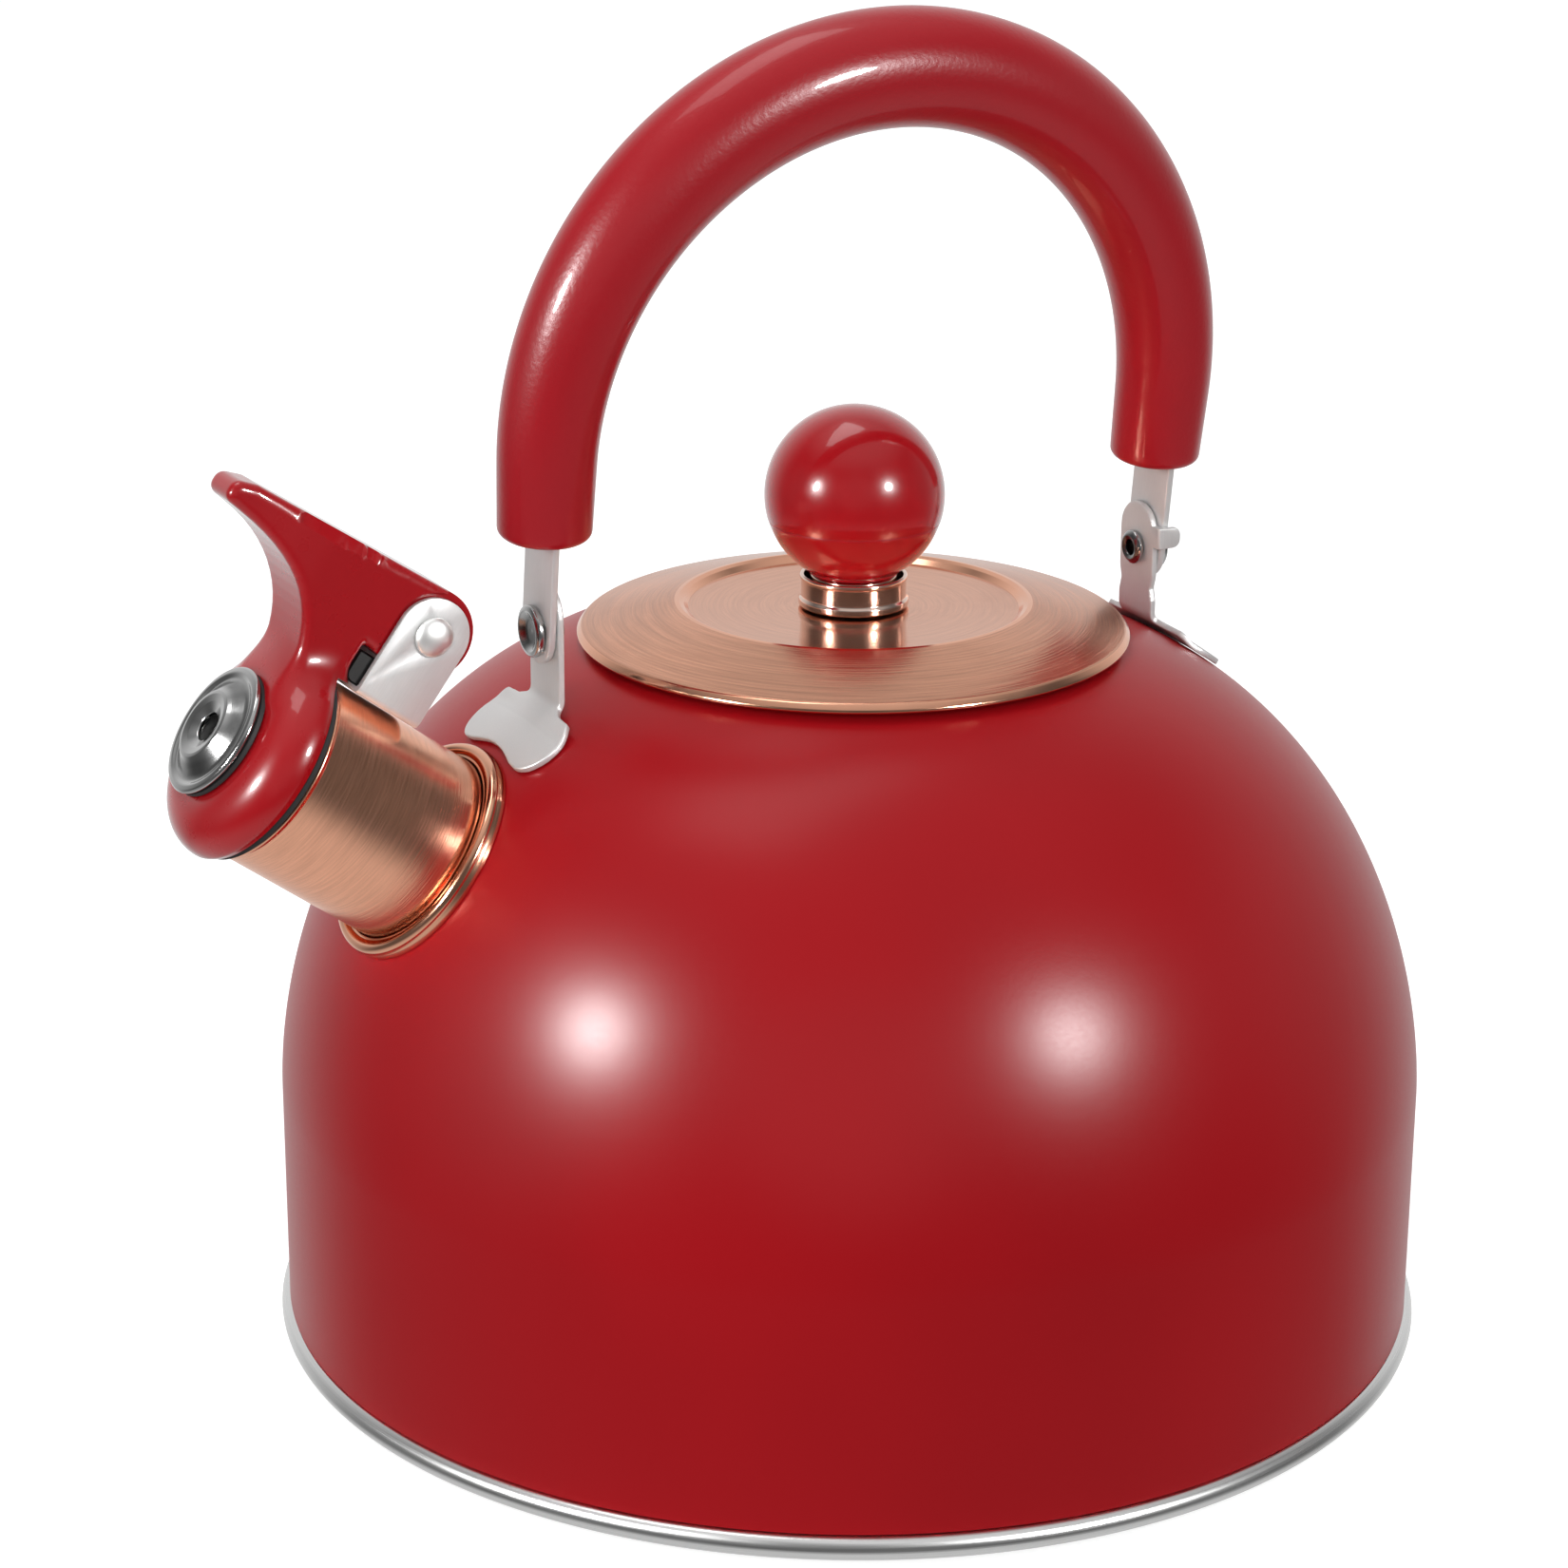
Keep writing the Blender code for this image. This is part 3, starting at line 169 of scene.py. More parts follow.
class Value:
    """A number that varies over a surface. Python's operators on it add Math nodes."""

    def __init__(self, finish, socket):
        self.finish = finish
        self.socket = socket

    def math(self, operation, *others):
        inputs = dict(enumerate((self, *others)))
        return self.finish.node("ShaderNodeMath", {"operation": operation}, inputs)

    def __add__(self, other):
        return self.math("ADD", other)

    def __sub__(self, other):
        return self.math("SUBTRACT", other)

    def __mul__(self, other):
        return self.math("MULTIPLY", other)

    def __truediv__(self, other):
        return self.math("DIVIDE", other)

    def __pow__(self, other):
        return self.math("POWER", other)

    def __rsub__(self, other):
        return self.finish.node("ShaderNodeMath", {"operation": "SUBTRACT"}, {0: other, 1: self})

    def __rtruediv__(self, other):
        return self.finish.node("ShaderNodeMath", {"operation": "DIVIDE"}, {0: other, 1: self})

    __radd__ = __add__
    __rmul__ = __mul__

    def step(self, start, end):
        """0 before start, 1 after end, smooth between them."""
        settings = {"interpolation_type": "SMOOTHSTEP"}
        inputs = {"Value": self, "From Min": start, "From Max": end}
        return self.finish.node("ShaderNodeMapRange", settings, inputs)


class Finish:
    """A material with one Principled shader, and short ways to its nodes."""

    def __init__(self, name, **uniform):
        self.material = bpy.data.materials.new(name)
        self.material.use_nodes = True
        self.tree = self.material.node_tree
        self.shader = self.tree.nodes["Principled BSDF"]
        for socket, value in uniform.items():
            self.shader.inputs[socket.replace("_", " ")].default_value = value

    def node(self, kind, settings=None, inputs=None, output=0):
        made = self.tree.nodes.new(kind)
        for key, value in (settings or {}).items():
            setattr(made, key, value)
        for key, value in (inputs or {}).items():
            if isinstance(value, Value):
                self.tree.links.new(value.socket, made.inputs[key])
            else:
                made.inputs[key].default_value = value
        return Value(self, made.outputs[output])

    def place(self):
        """The surface's own coordinates: (x, y, z) numbers, and the vector."""
        vector = self.node("ShaderNodeTexCoord", output="Object")
        return [*self.parts(vector), vector]

    def parts(self, vector):
        return [self.node("ShaderNodeSeparateXYZ", inputs={0: vector}, output=i) for i in range(3)]

    def vector(self, x, y, z):
        return self.node("ShaderNodeCombineXYZ", inputs={0: x, 1: y, 2: z})

    def noise(self, vector, scale, detail=2.0, roughness=0.5, w=None):
        settings = {"noise_dimensions": "3D" if w is None else "4D"}
        inputs = {"Vector": vector, "Scale": scale, "Detail": detail, "Roughness": roughness}
        if w is not None:
            inputs["W"] = w
        return self.node("ShaderNodeTexNoise", settings, inputs)

    def mix(self, factor, first, second):
        """A colour between two colours, which may be links or (r, g, b)."""
        ends = [c if isinstance(c, Value) else (*c, 1.0) for c in (first, second)]
        settings = {"data_type": "RGBA"}
        return self.node("ShaderNodeMix", settings, {0: factor, 6: ends[0], 7: ends[1]}, output=2)

    def bump(self, height, strength, distance):
        inputs = {"Height": height, "Strength": strength, "Distance": distance}
        self.drive(Normal=self.node("ShaderNodeBump", inputs=inputs))

    def drive(self, **links):
        """Links varying values to the shader."""
        for socket, value in links.items():
            self.tree.links.new(value.socket, self.shader.inputs[socket.replace("_", " ")])


class Sky(Finish):
    """The world's light, with the same short ways to its nodes."""

    def __init__(self, world):
        self.tree = world.node_tree

    def place(self):
        """The direction that each ray looks in."""
        vector = self.node("ShaderNodeTexCoord", output="Generated")
        return self.parts(vector)


def shade(base, factor):
    """A lighter or darker form of a colour."""
    return tuple(min(c * factor, 1.0) for c in base)


def turning_grain(finish, across, around, detail=3.0):
    """Fine marks that run round local Z: across is marks per metre, around is breaks per radian."""
    x, y, z, _ = finish.place()
    radius = (x * x + y * y) ** 0.5
    inverse = around / (radius + 1e-5)
    vector = finish.vector(x * inverse, y * inverse, z * across)
    return finish.noise(vector, 1.0, detail, 0.6, w=radius * across)


def satin_paint(name, base):
    """Sprayed satin paint: a very fine grain, a slow drift of tone, and a faint orange peel."""
    finish = Finish(name, Metallic=0.0, IOR=1.26)
    *_, vector = finish.place()
    drift = finish.noise(vector, 14.0, 2.0)
    grain = finish.noise(vector, 1500.0, 2.0)
    peel = finish.noise(vector, 420.0, 2.0)
    finish.drive(
        Base_Color=finish.mix(drift.step(0.3, 0.7), shade(base, 0.94), shade(base, 1.05)),
        Roughness=0.265 + 0.05 * grain + 0.03 * drift,
    )
    finish.bump(grain * 0.6 + peel, 0.10, 0.00006)
    return finish.material


def gloss_moulding(name, base, peel_scale, peel, roughness, coat=1.0):
    """A glossy red moulding under clear lacquer, with the slight ripple of its surface."""
    finish = Finish(name, Metallic=0.0, IOR=1.30, Coat_Weight=coat, Coat_Roughness=0.035, Coat_IOR=1.35)
    *_, vector = finish.place()
    drift = finish.noise(vector, 40.0, 2.0)
    ripple = finish.noise(vector, peel_scale, 3.0, 0.55)
    finish.drive(
        Base_Color=finish.mix(drift, shade(base, 0.92), shade(base, 1.07)),
        Roughness=roughness + 0.06 * ripple,
    )
    finish.bump(ripple, peel, 0.0004)
    return finish.material


def brushed_plate(name, base, roughness, across, around, depth, anisotropy, tint=0.16):
    """Plate brushed on a lathe: its streaks darken and lighten it and break up its shine."""
    finish = Finish(name, Metallic=1.0, Anisotropic=anisotropy)
    streak = turning_grain(finish, across, around)
    *_, vector = finish.place()
    patina = finish.noise(vector, 55.0, 3.0)
    tone = streak.step(0.25, 0.75)
    warm = finish.mix(tone, shade(base, 1.0 - tint), shade(base, 1.0 + tint))
    darker = (base[0] * 0.80, base[1] * 0.72, base[2] * 0.68)
    finish.drive(
        Base_Color=finish.mix(patina.step(0.55, 0.85) * 0.5, warm, darker),
        Roughness=roughness - 0.05 + 0.12 * streak + 0.05 * patina,
    )
    finish.bump(streak, depth, 0.00012)
    return finish.material


def polished_plate(name, base, roughness, streaks=0.03):
    """Polished plate with the last faint turning marks and a little haze."""
    finish = Finish(name, Metallic=1.0)
    marks = turning_grain(finish, 5000.0, 2.0, 2.0)
    *_, vector = finish.place()
    haze = finish.noise(vector, 160.0, 3.0)
    finish.drive(
        Base_Color=finish.mix(haze, shade(base, 0.93), shade(base, 1.05)),
        Roughness=roughness + streaks * marks + 0.05 * haze.step(0.5, 0.8),
    )
    finish.bump(marks, 0.05, 0.00005)
    return finish.material


def dished_plate(name, base, roughness, start, end, depth):
    """Bright plate with painted shade, standing for dark reflections, in a hollow which lies between two
    distances from its own axis; the roughness rises there too.
    """
    finish = Finish(name, Metallic=1.0)
    x, y, _, vector = finish.place()
    radius = (x * x + y * y) ** 0.5
    soft = 0.0007
    # Painted shade: the band between start and end is drawn darker, by depth, to stand for the dark
    # reflections in the dish, and noise breaks it up.
    hollow = radius.step(start - soft, start + soft) * (1.0 - radius.step(end - soft, end + soft))
    marks = turning_grain(finish, 5000.0, 2.0, 2.0)
    painted_shade_break = finish.noise(vector, 260.0, 3.0).step(0.35, 0.7)
    # The same mask darkens the colour, which is painted shade, and raises the roughness.
    darker = hollow * (0.65 + 0.35 * painted_shade_break)
    finish.drive(
        Base_Color=finish.mix(darker, base, shade(base, 1.0 - depth)),
        Roughness=roughness + 0.04 * marks + 0.06 * darker,
    )
    finish.bump(marks, 0.05, 0.00005)
    return finish.material


def pressed_steel(name, base, roughness, run):
    """Rolled sheet, satin, with its grain running along one local axis and small scuffs."""
    finish = Finish(name, Metallic=0.35, Anisotropic=0.2)
    x, y, z, vector = finish.place()
    fine, slow = 6000.0, 350.0
    spread = [slow if axis == run else fine for axis in "XYZ"]
    grain = finish.noise(finish.vector(x * spread[0], y * spread[1], z * spread[2]), 1.0, 2.0)
    scuff = finish.noise(vector, 300.0, 4.0, 0.6)
    finish.drive(
        Base_Color=finish.mix(grain, shade(base, 0.94), shade(base, 1.05)),
        Roughness=roughness + 0.10 * grain + 0.10 * scuff.step(0.55, 0.75),
    )
    finish.bump(grain, 0.06, 0.00006)
    return finish.material


def matt_moulding(name, base, roughness, grain_scale):
    """A dull moulding with a fine grain."""
    finish = Finish(name, Metallic=0.0)
    *_, vector = finish.place()
    grain = finish.noise(vector, grain_scale, 3.0)
    finish.drive(
        Base_Color=finish.mix(grain, shade(base, 0.8), shade(base, 1.6)),
        Roughness=roughness + 0.15 * grain,
    )
    finish.bump(grain, 0.15, 0.0001)
    return finish.material


def finish_makers():
    """Each finish by name: its function and what that takes after the name."""
    c = bpy.context.scene.kettle_finishes
    copper, steel, bright, gloss = tuple(c.copper), tuple(c.steel), tuple(c.bright), tuple(c.gloss)
    brass, aluminium, black = (0.72, 0.55, 0.27), (0.55, 0.55, 0.56), tuple(c.black)
    return {
        "body_paint": (satin_paint, tuple(c.paint)),
        "grip_gloss": (gloss_moulding, shade(tuple(c.grip), 1.25), 1100.0, 0.12, 0.30, 0.45),
        "lever_gloss": (gloss_moulding, gloss, 260.0, 0.035, 0.25),
        "knob_gloss": (gloss_moulding, gloss, 420.0, 0.045, 0.22),
        # The lid's copper is drawn darker and the tube's lighter than the plate's own colour: painted shade
        # on the lid, painted light on the tube.
        "lid_copper": (brushed_plate, shade(copper, 0.80), 0.20, 2600.0, 2.4, 0.22, 0.72),
        "recess_copper": (brushed_plate, shade(copper, 0.86), 0.10, 2200.0, 2.0, 0.08, 0.25, 0.08),
        "tube_copper": (brushed_plate, shade(copper, 1.12), 0.17, 3200.0, 2.2, 0.12, 0.75, 0.10),
        "collar_copper": (polished_plate, shade(copper, 1.03), 0.13),
        "ferrule_plate": (polished_plate, tuple(c.pale_copper), 0.11),
        "strap_steel": (pressed_steel, steel, 0.36, "Z"),
        # The ears' steel is drawn lighter than the straps': painted light.
        "ear_steel": (pressed_steel, shade(steel, 1.08), 0.34, "X"),
        # Bright steel is drawn darker than its own colour for the pin, washer, screw, spring and reed plate:
        # painted shade.
        "bright_steel": (polished_plate, shade(bright, 0.62), 0.14),
        # The bezel's and rivets' steel is drawn darker than its own colour, and darker still in a band round
        # each axis: painted shade.
        "bezel_steel": (dished_plate, shade(bright, 0.66), 0.13, 0.0066, 0.0088, 0.65),
        "rivet_steel": (dished_plate, shade(bright, 0.70), 0.15, 0.0, 0.0026, 0.80),
        "ring_steel": (brushed_plate, bright, 0.22, 4200.0, 3.0, 0.08, 0.3, 0.06),
        "base_steel": (brushed_plate, steel, 0.30, 1500.0, 2.0, 0.15, 0.5, 0.10),
        "core_aluminium": (matt_moulding, aluminium, 0.40, 900.0),
        "insert_brass": (polished_plate, brass, 0.25),
        "black_nylon": (matt_moulding, black, 0.34, 1200.0),
        "black_rubber": (matt_moulding, black, 0.50, 1500.0),
    }


def finish_named(name):
    made = bpy.data.materials.get(name)
    if made is None:
        maker, *settings = finish_makers()[name]
        made = maker(name, *settings)
    return made


# ---- shapes ----


def arc(centre, radius, start, end, steps):
    """Points on an arc in a plane, angles in degrees from the first axis."""
    turns = np.radians(np.linspace(start, end, steps + 1))
    return [(centre[0] + radius * math.cos(a), centre[1] + radius * math.sin(a)) for a in turns]


def softened(outline, radius, steps=4, closed=True):
    """The outline with its corners rounded. A point's third number is its own corner radius."""
    made = []
    count = len(outline)
    for i, point in enumerate(outline):
        here = Vector(point[:2])
        before = Vector(outline[i - 1][:2]) - here
        after = Vector(outline[(i + 1) % count][:2]) - here
        wanted = point[2] if len(point) > 2 else radius
        end = not closed and i in (0, count - 1)
        inside = before.angle(after, math.pi)
        if end or wanted <= 0 or inside > math.pi - 0.03:
            made.append(tuple(here))
            continue
        reach = min(wanted / math.tan(inside / 2), 0.46 * before.length, 0.46 * after.length)
        bend = reach * math.tan(inside / 2)
        middle = here + (before.normalized() + after.normalized()).normalized() * bend / math.sin(inside / 2)
        first = here + before.normalized() * reach - middle
        last = here + after.normalized() * reach - middle
        turn = math.atan2(first.x * last.y - first.y * last.x, first.dot(last))
        for k in range(steps + 1):
            made.append(tuple(middle + Matrix.Rotation(turn * k / steps, 2) @ first))
    return made


def raised(outline, rise):
    """A profile moved along its axis, with nothing left of the axis."""
    return [(max(r, 0.0), z + rise) for r, z in outline]


def points_of(mesh):
    """A mesh's points as rows of numbers."""
    points = np.empty(len(mesh.vertices) * 3)
    mesh.vertices.foreach_get("co", points)
    return points.reshape(-1, 3)


def move_points(mesh, points):
    mesh.vertices.foreach_set("co", points.reshape(-1))
    mesh.update()


def shell_of(bm, name, sharp=50.0):
    """A smooth mesh with sharp edges where it turns by more than so many degrees."""
    bmesh.ops.remove_doubles(bm, verts=bm.verts, dist=1e-7)
    bmesh.ops.recalc_face_normals(bm, faces=bm.faces)
    mesh = bpy.data.meshes.new(name)
    bm.to_mesh(mesh)
    bm.free()
    mesh.shade_smooth()
    mesh.set_sharp_from_angle(angle=math.radians(sharp))
    return mesh


def turned(name, profile, facets=None, sharp=50.0):
    """A mesh turned about local Z from a closed profile of (radius, height)."""
    facets = facets or sizes().facets
    bm = bmesh.new()
    columns = []
    for i in range(facets):
        a = 2 * math.pi * i / facets
        columns.append([bm.verts.new((r * math.cos(a), r * math.sin(a), z)) for r, z in profile])
    count = len(profile)
    for i in range(facets):
        here, there = columns[i], columns[(i + 1) % facets]
        for j in range(count):
            k = (j + 1) % count
            if max(profile[j][0], profile[k][0]) > 1e-7:
                bm.faces.new((here[j], here[k], there[k], there[j]))
    return shell_of(bm, name, sharp)


def prism(name, outline, half_width, rounding=0.0, segments=3):
    """The (x, z) outline extruded to both sides along Y, its rims rounded."""
    bm = bmesh.new()
    sides = [[bm.verts.new((x, sign * half_width, z)) for x, z in outline] for sign in (-1, 1)]
    for side in sides:
        bm.faces.new(side)
    for i in range(len(outline)):
        j = (i + 1) % len(outline)
        bm.faces.new((sides[0][i], sides[0][j], sides[1][j], sides[1][i]))
    bmesh.ops.recalc_face_normals(bm, faces=bm.faces)
    if rounding:
        rims = [e for e in bm.edges if abs(e.verts[0].co.y - e.verts[1].co.y) < 1e-6]
        bmesh.ops.bevel(bm, geom=rims, offset=rounding, segments=segments, profile=0.5, affect="EDGES")
    return shell_of(bm, name)


def lofted(name, rings, capped=True):
    """A mesh through closed rings of points."""
    bm = bmesh.new()
    made = [[bm.verts.new(point) for point in ring] for ring in rings]
    pairs = list(zip(made, made[1:])) + ([] if capped else [(made[-1], made[0])])
    for here, there in pairs:
        for j in range(len(here)):
            k = (j + 1) % len(here)
            bm.faces.new((here[j], here[k], there[k], there[j]))
    if capped:
        bm.faces.new(made[0])
        bm.faces.new(made[-1])
    return shell_of(bm, name)


def add_piece(name, mesh, finish, body, nodes=(), matrix=None):
    """A finished piece that rides on a body and stands for its plain nodes. Its finish follows its axes."""
    piece = bpy.data.objects.new(name, mesh)
    bpy.context.scene.collection.objects.link(piece)
    mesh.materials.append(finish_named(finish))
    if matrix is not None:
        piece.matrix_world = matrix
    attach(piece, body)
    if nodes:
        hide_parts(*nodes)
    return piece


def add_turned(name, outline, finish, body, node, matrix=None, facets=None, sharp=50.0):
    """A turned piece that stands for one plain node."""
    return add_piece(name, turned(name, outline, facets, sharp), finish, body, [node], matrix)


def reskin(piece, size):
    """Turns a blank's faces into an even net, ready to be shaped."""
    remesh = piece.modifiers.new("skin", "REMESH")
    remesh.mode = "VOXEL"
    remesh.voxel_size = size
    settle(piece)


def cut(piece, mesh, matrix=None, operation="DIFFERENCE"):
    """Cuts or joins a tool mesh and applies the result."""
    tool = bpy.data.objects.new("tool", mesh)
    bpy.context.scene.collection.objects.link(tool)
    tool.matrix_world = matrix if matrix is not None else piece.matrix_world
    boolean = piece.modifiers.new("cut", "BOOLEAN")
    boolean.operation = operation
    boolean.solver = "EXACT"
    boolean.object = tool
    settle(piece)
    bpy.data.objects.remove(tool)


def straighten(piece):
    """Turns a piece's own axes to the world's without moving its surface."""
    piece.data.transform(piece.matrix_world)
    piece.matrix_world = Matrix()


def settle(piece):
    """Applies a piece's modifiers."""
    bpy.context.view_layer.update()
    graph = bpy.context.evaluated_depsgraph_get()
    result = bpy.data.meshes.new_from_object(piece.evaluated_get(graph), depsgraph=graph)
    piece.modifiers.clear()
    piece.data = result


def rod(name, radius, start, end, facets=48):
    """A round bar along local Z."""
    return turned(name, [(0.0, end), (radius, end), (radius, start), (0.0, start)], facets)


# ---- the kettle's own curves ----

DOME_RADIAL_POWER = 0.6806
DOME_RISE_POWER = 1.0986


def dome_point(t, inset=0.0):
    """(radius, height) on the dome at parameter t, 0 at the wall, moved in along the normal."""
    s = sizes()
    c, k = math.cos(t), max(math.sin(t), 1e-6)
    radius = s.body_radius * c**DOME_RADIAL_POWER
    height = s.wall_top + s.dome_rise * k**DOME_RISE_POWER
    along_r = -s.body_radius * DOME_RADIAL_POWER * c ** (DOME_RADIAL_POWER - 1) * k
    along_z = s.dome_rise * DOME_RISE_POWER * k ** (DOME_RISE_POWER - 1) * c
    size = math.hypot(along_r, along_z)
    return radius - inset * along_z / size, height + inset * along_r / size


def dome_angle(radius):
    return math.acos(min(radius / sizes().body_radius, 1.0) ** (1 / DOME_RADIAL_POWER))


def dome_height(radius):
    return dome_point(dome_angle(radius))[1]


def spout_axes():
    """The spout's root, its outward direction and the direction above it."""
    s = sizes()
    out = Vector((-math.cos(s.spout_rise), 0.0, math.sin(s.spout_rise)))
    above = Vector((math.sin(s.spout_rise), 0.0, math.cos(s.spout_rise)))
    return HINGE - s.hinge_along * out - s.hinge_above * above, out, above


def spout_matrix():
    root, out, above = spout_axes()
    side = out.cross(above)
    turn = Matrix((above, side, out)).transposed()
    return Matrix.Translation(root) @ turn.to_4x4()


def along_y(matrix, x, z):
    """A frame whose Z runs along the given frame's Y, at (x, z) in it."""
    return matrix @ Matrix.Translation((x, 0.0, z)) @ Matrix.Rotation(math.radians(90), 4, "X")


# ---- operators, one for each piece or group ----


class PieceOperator:
    bl_options = {"REGISTER", "UNDO"}

    def execute(self, context):
        self.build()
        return {"FINISHED"}


class KETTLE_OT_body(PieceOperator, Operator):
    """Spun and painted body: straight wall, domed shoulder and the rolled neck under the lid"""

    bl_idname = "kettle.body"
    bl_label = "Body"

    def build(self):
        s = sizes()
        foot = low("body_shell").z
        lip = s.neck_radius + 0.0014
        top = dome_angle(lip)
        turns = np.linspace(top, 0.0, 90)
        neck_top = dome_height(lip)
        neck_foot = 0.1140
        outside = [dome_point(t) for t in turns] + [(s.body_radius, foot + 0.012), (s.body_radius, foot)]
        inside = [(s.body_radius - s.sheet, foot), (s.body_radius - s.sheet, foot + 0.012)]
        inside += [dome_point(t, s.sheet) for t in turns[::-1]]
        outer_neck = s.neck_radius + s.sheet
        inside += [(outer_neck, neck_top - 0.0016), (outer_neck, neck_foot)]
        roll = arc((lip, neck_top - 0.0014), 0.0014, 178, 92, 8)
        profile = [(s.neck_radius, neck_foot), *roll, *outside, *inside]
        piece = add_turned("body", profile, "body_paint", BODY, "body_shell", facets=256)
        cut(piece, rod("spout_hole", s.tube_radius + 0.0003, -0.030, 0.0, 96), spout_matrix())


class KETTLE_OT_base(PieceOperator, Operator):
    """Bright rolled ring and pan, aluminium core and brushed steel disc under the kettle"""

    bl_idname = "kettle.base"
    bl_label = "Base"

    def build(self):
        rim = high("base_pan").x
        floor = high("base_pan").z
        roll = 0.00213
        sheet = 0.0008
        bead = arc((rim - roll, 0.0025), roll, 108, -172, 40)
        pan = [(0.0, floor), (bead[0][0] - 0.0004, floor), *bead]
        pan += [(bead[-1][0], floor - sheet), (0.0, floor - sheet)]
        add_turned("base_ring", pan, "ring_steel", BODY, "base_pan", facets=256)
        cap_radius = high("base_cap").x
        wall = cap_radius - 0.0006
        top = high("base_cap").z
        cap = [(0.0, 0.0006), (wall, 0.0006), (wall, top), (cap_radius, top), (cap_radius, 0.0)]
        cap += [(0.0300, 0.0), (0.0296, 0.0003), (0.0288, 0.0003), (0.0284, 0.0), (0.0, 0.0)]
        outline = raised(softened(cap, 0.0003, 3, closed=False), 0.0)
        add_turned("base_disc", outline, "base_steel", BODY, "base_cap")
        keep_node("base_core", "core_aluminium")


def keep_node(node, finish):
    """Gives a plain node that stays its finish."""
    slots = frame["nodes"][node].data.materials
    slots.clear()
    slots.append(finish_named(finish))


class KETTLE_OT_lid(PieceOperator, Operator):
    """Brushed copper lid with a mirror recess, its steel skirt, screw and washer"""

    bl_idname = "kettle.lid"
    bl_label = "Lid"

    def build(self):
        s = sizes()
        crest = high("lid_plate").z
        seat = crest - 0.0058
        floor = crest - 0.0012
        edge = s.recess_radius + 0.0013
        rim_top = crest - 0.0042
        bottom = low("lid_plate").z
        rim = s.lid_radius
        top_skin = [
            (0.0024, floor),
            (s.recess_radius - 0.0002, floor, 0.0003),
            (edge - 0.0006, crest - 0.00035, 0.0004),
            (edge + 0.0002, crest, 0.0006),
            (edge + 0.0010, crest - 0.0001, 0.0006),
            (rim - 0.0008, rim_top, 0.0012),
            (rim, rim_top - 0.0010, 0.0009),
            (rim, bottom + 0.0004, 0.0004),
            (rim - 0.0005, bottom, 0.0004),
            (rim - 0.0011, bottom + 0.0004, 0.0003),
            (rim - 0.0013, rim_top - s.sheet, 0.0008),
            (edge + 0.0008, crest - s.sheet - 0.0002, 0.0004),
            (s.recess_radius + 0.0004, floor - s.sheet, 0.0004),
            (0.0024, floor - s.sheet),
        ]
        profile = softened(top_skin, 0.0, 5)
        here = Matrix.Translation((0.0, 0.0, seat))
        outline = raised(profile, -seat)
        piece = add_turned("lid", outline, "lid_copper", LID, "lid_plate", here, 256)
        piece.data.materials.append(finish_named("recess_copper"))
        piece.data.materials.append(finish_named("collar_copper"))
        for face in piece.data.polygons:
            radius = math.hypot(face.center.x, face.center.y)
            if radius < edge + 0.0008:
                face.material_index = 1 if radius < s.recess_radius - 0.0001 else 2
            elif radius > rim - 0.0008:
                face.material_index = 2
        self.build_skirt(here, seat)
        self.build_screw(here, seat)

    def build_skirt(self, here, seat):
        lo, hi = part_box("lid_skirt")
        bead = hi.x
        outer = bead - 0.0021
        inner = outer - 0.0006
        flange = 0.0365
        fall = 0.24
        top = hi.z
        skirt = [
            (flange, top),
            (outer, top - fall * (outer - flange), 0.0006),
            (bead, lo.z + 0.0120, 0.0004),
            (bead, lo.z + 0.0112, 0.0004),
            (outer, lo.z + 0.0108, 0.0006),
            (outer, lo.z),
            (inner, lo.z),
            (inner, top - fall * (inner - flange) - 0.0006, 0.0004),
            (flange, top - 0.0006),
        ]
        profile = raised(softened(skirt, 0.00015, 4), -seat)
        add_turned("lid_skirt_ring", profile, "base_steel", LID, "lid_skirt", here)

    def build_screw(self, here, seat):
        lo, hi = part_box("lid_washer")
        washer = softened([(0.0024, hi.z), (hi.x, hi.z), (hi.x, lo.z), (0.0024, lo.z)], 0.00015, 3)
        outline = raised(washer, -seat)
        add_turned("washer", outline, "bright_steel", LID, "lid_washer", here, 96)
        lo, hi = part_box("lid_screw")
        head = lo.z + 0.0024
        shank = 0.0020
        screw = [(0.0, hi.z), (shank, hi.z), (shank, head), (hi.x, head)]
        screw += [(hi.x, head - 0.0011, 0.0008), (hi.x * 0.72, lo.z, 0.0010), (0.0, lo.z)]
        outline = raised(softened(screw, 0.0001, 4, closed=False), -seat)
        piece = add_turned("screw", outline, "bright_steel", LID, "lid_screw", here, 96)
        half_slot, reach, top, bottom = 0.0005, 0.0022, 0.0011, -0.0100
        cross = [(-reach, bottom), (reach, bottom), (reach, top), (-reach, top)]
        for turn in (0.0, 90.0):
            place = Matrix.Translation((0.0, 0.0, lo.z)) @ Matrix.Rotation(math.radians(turn), 4, "Z")
            cut(piece, prism("blade", cross, half_slot), place)


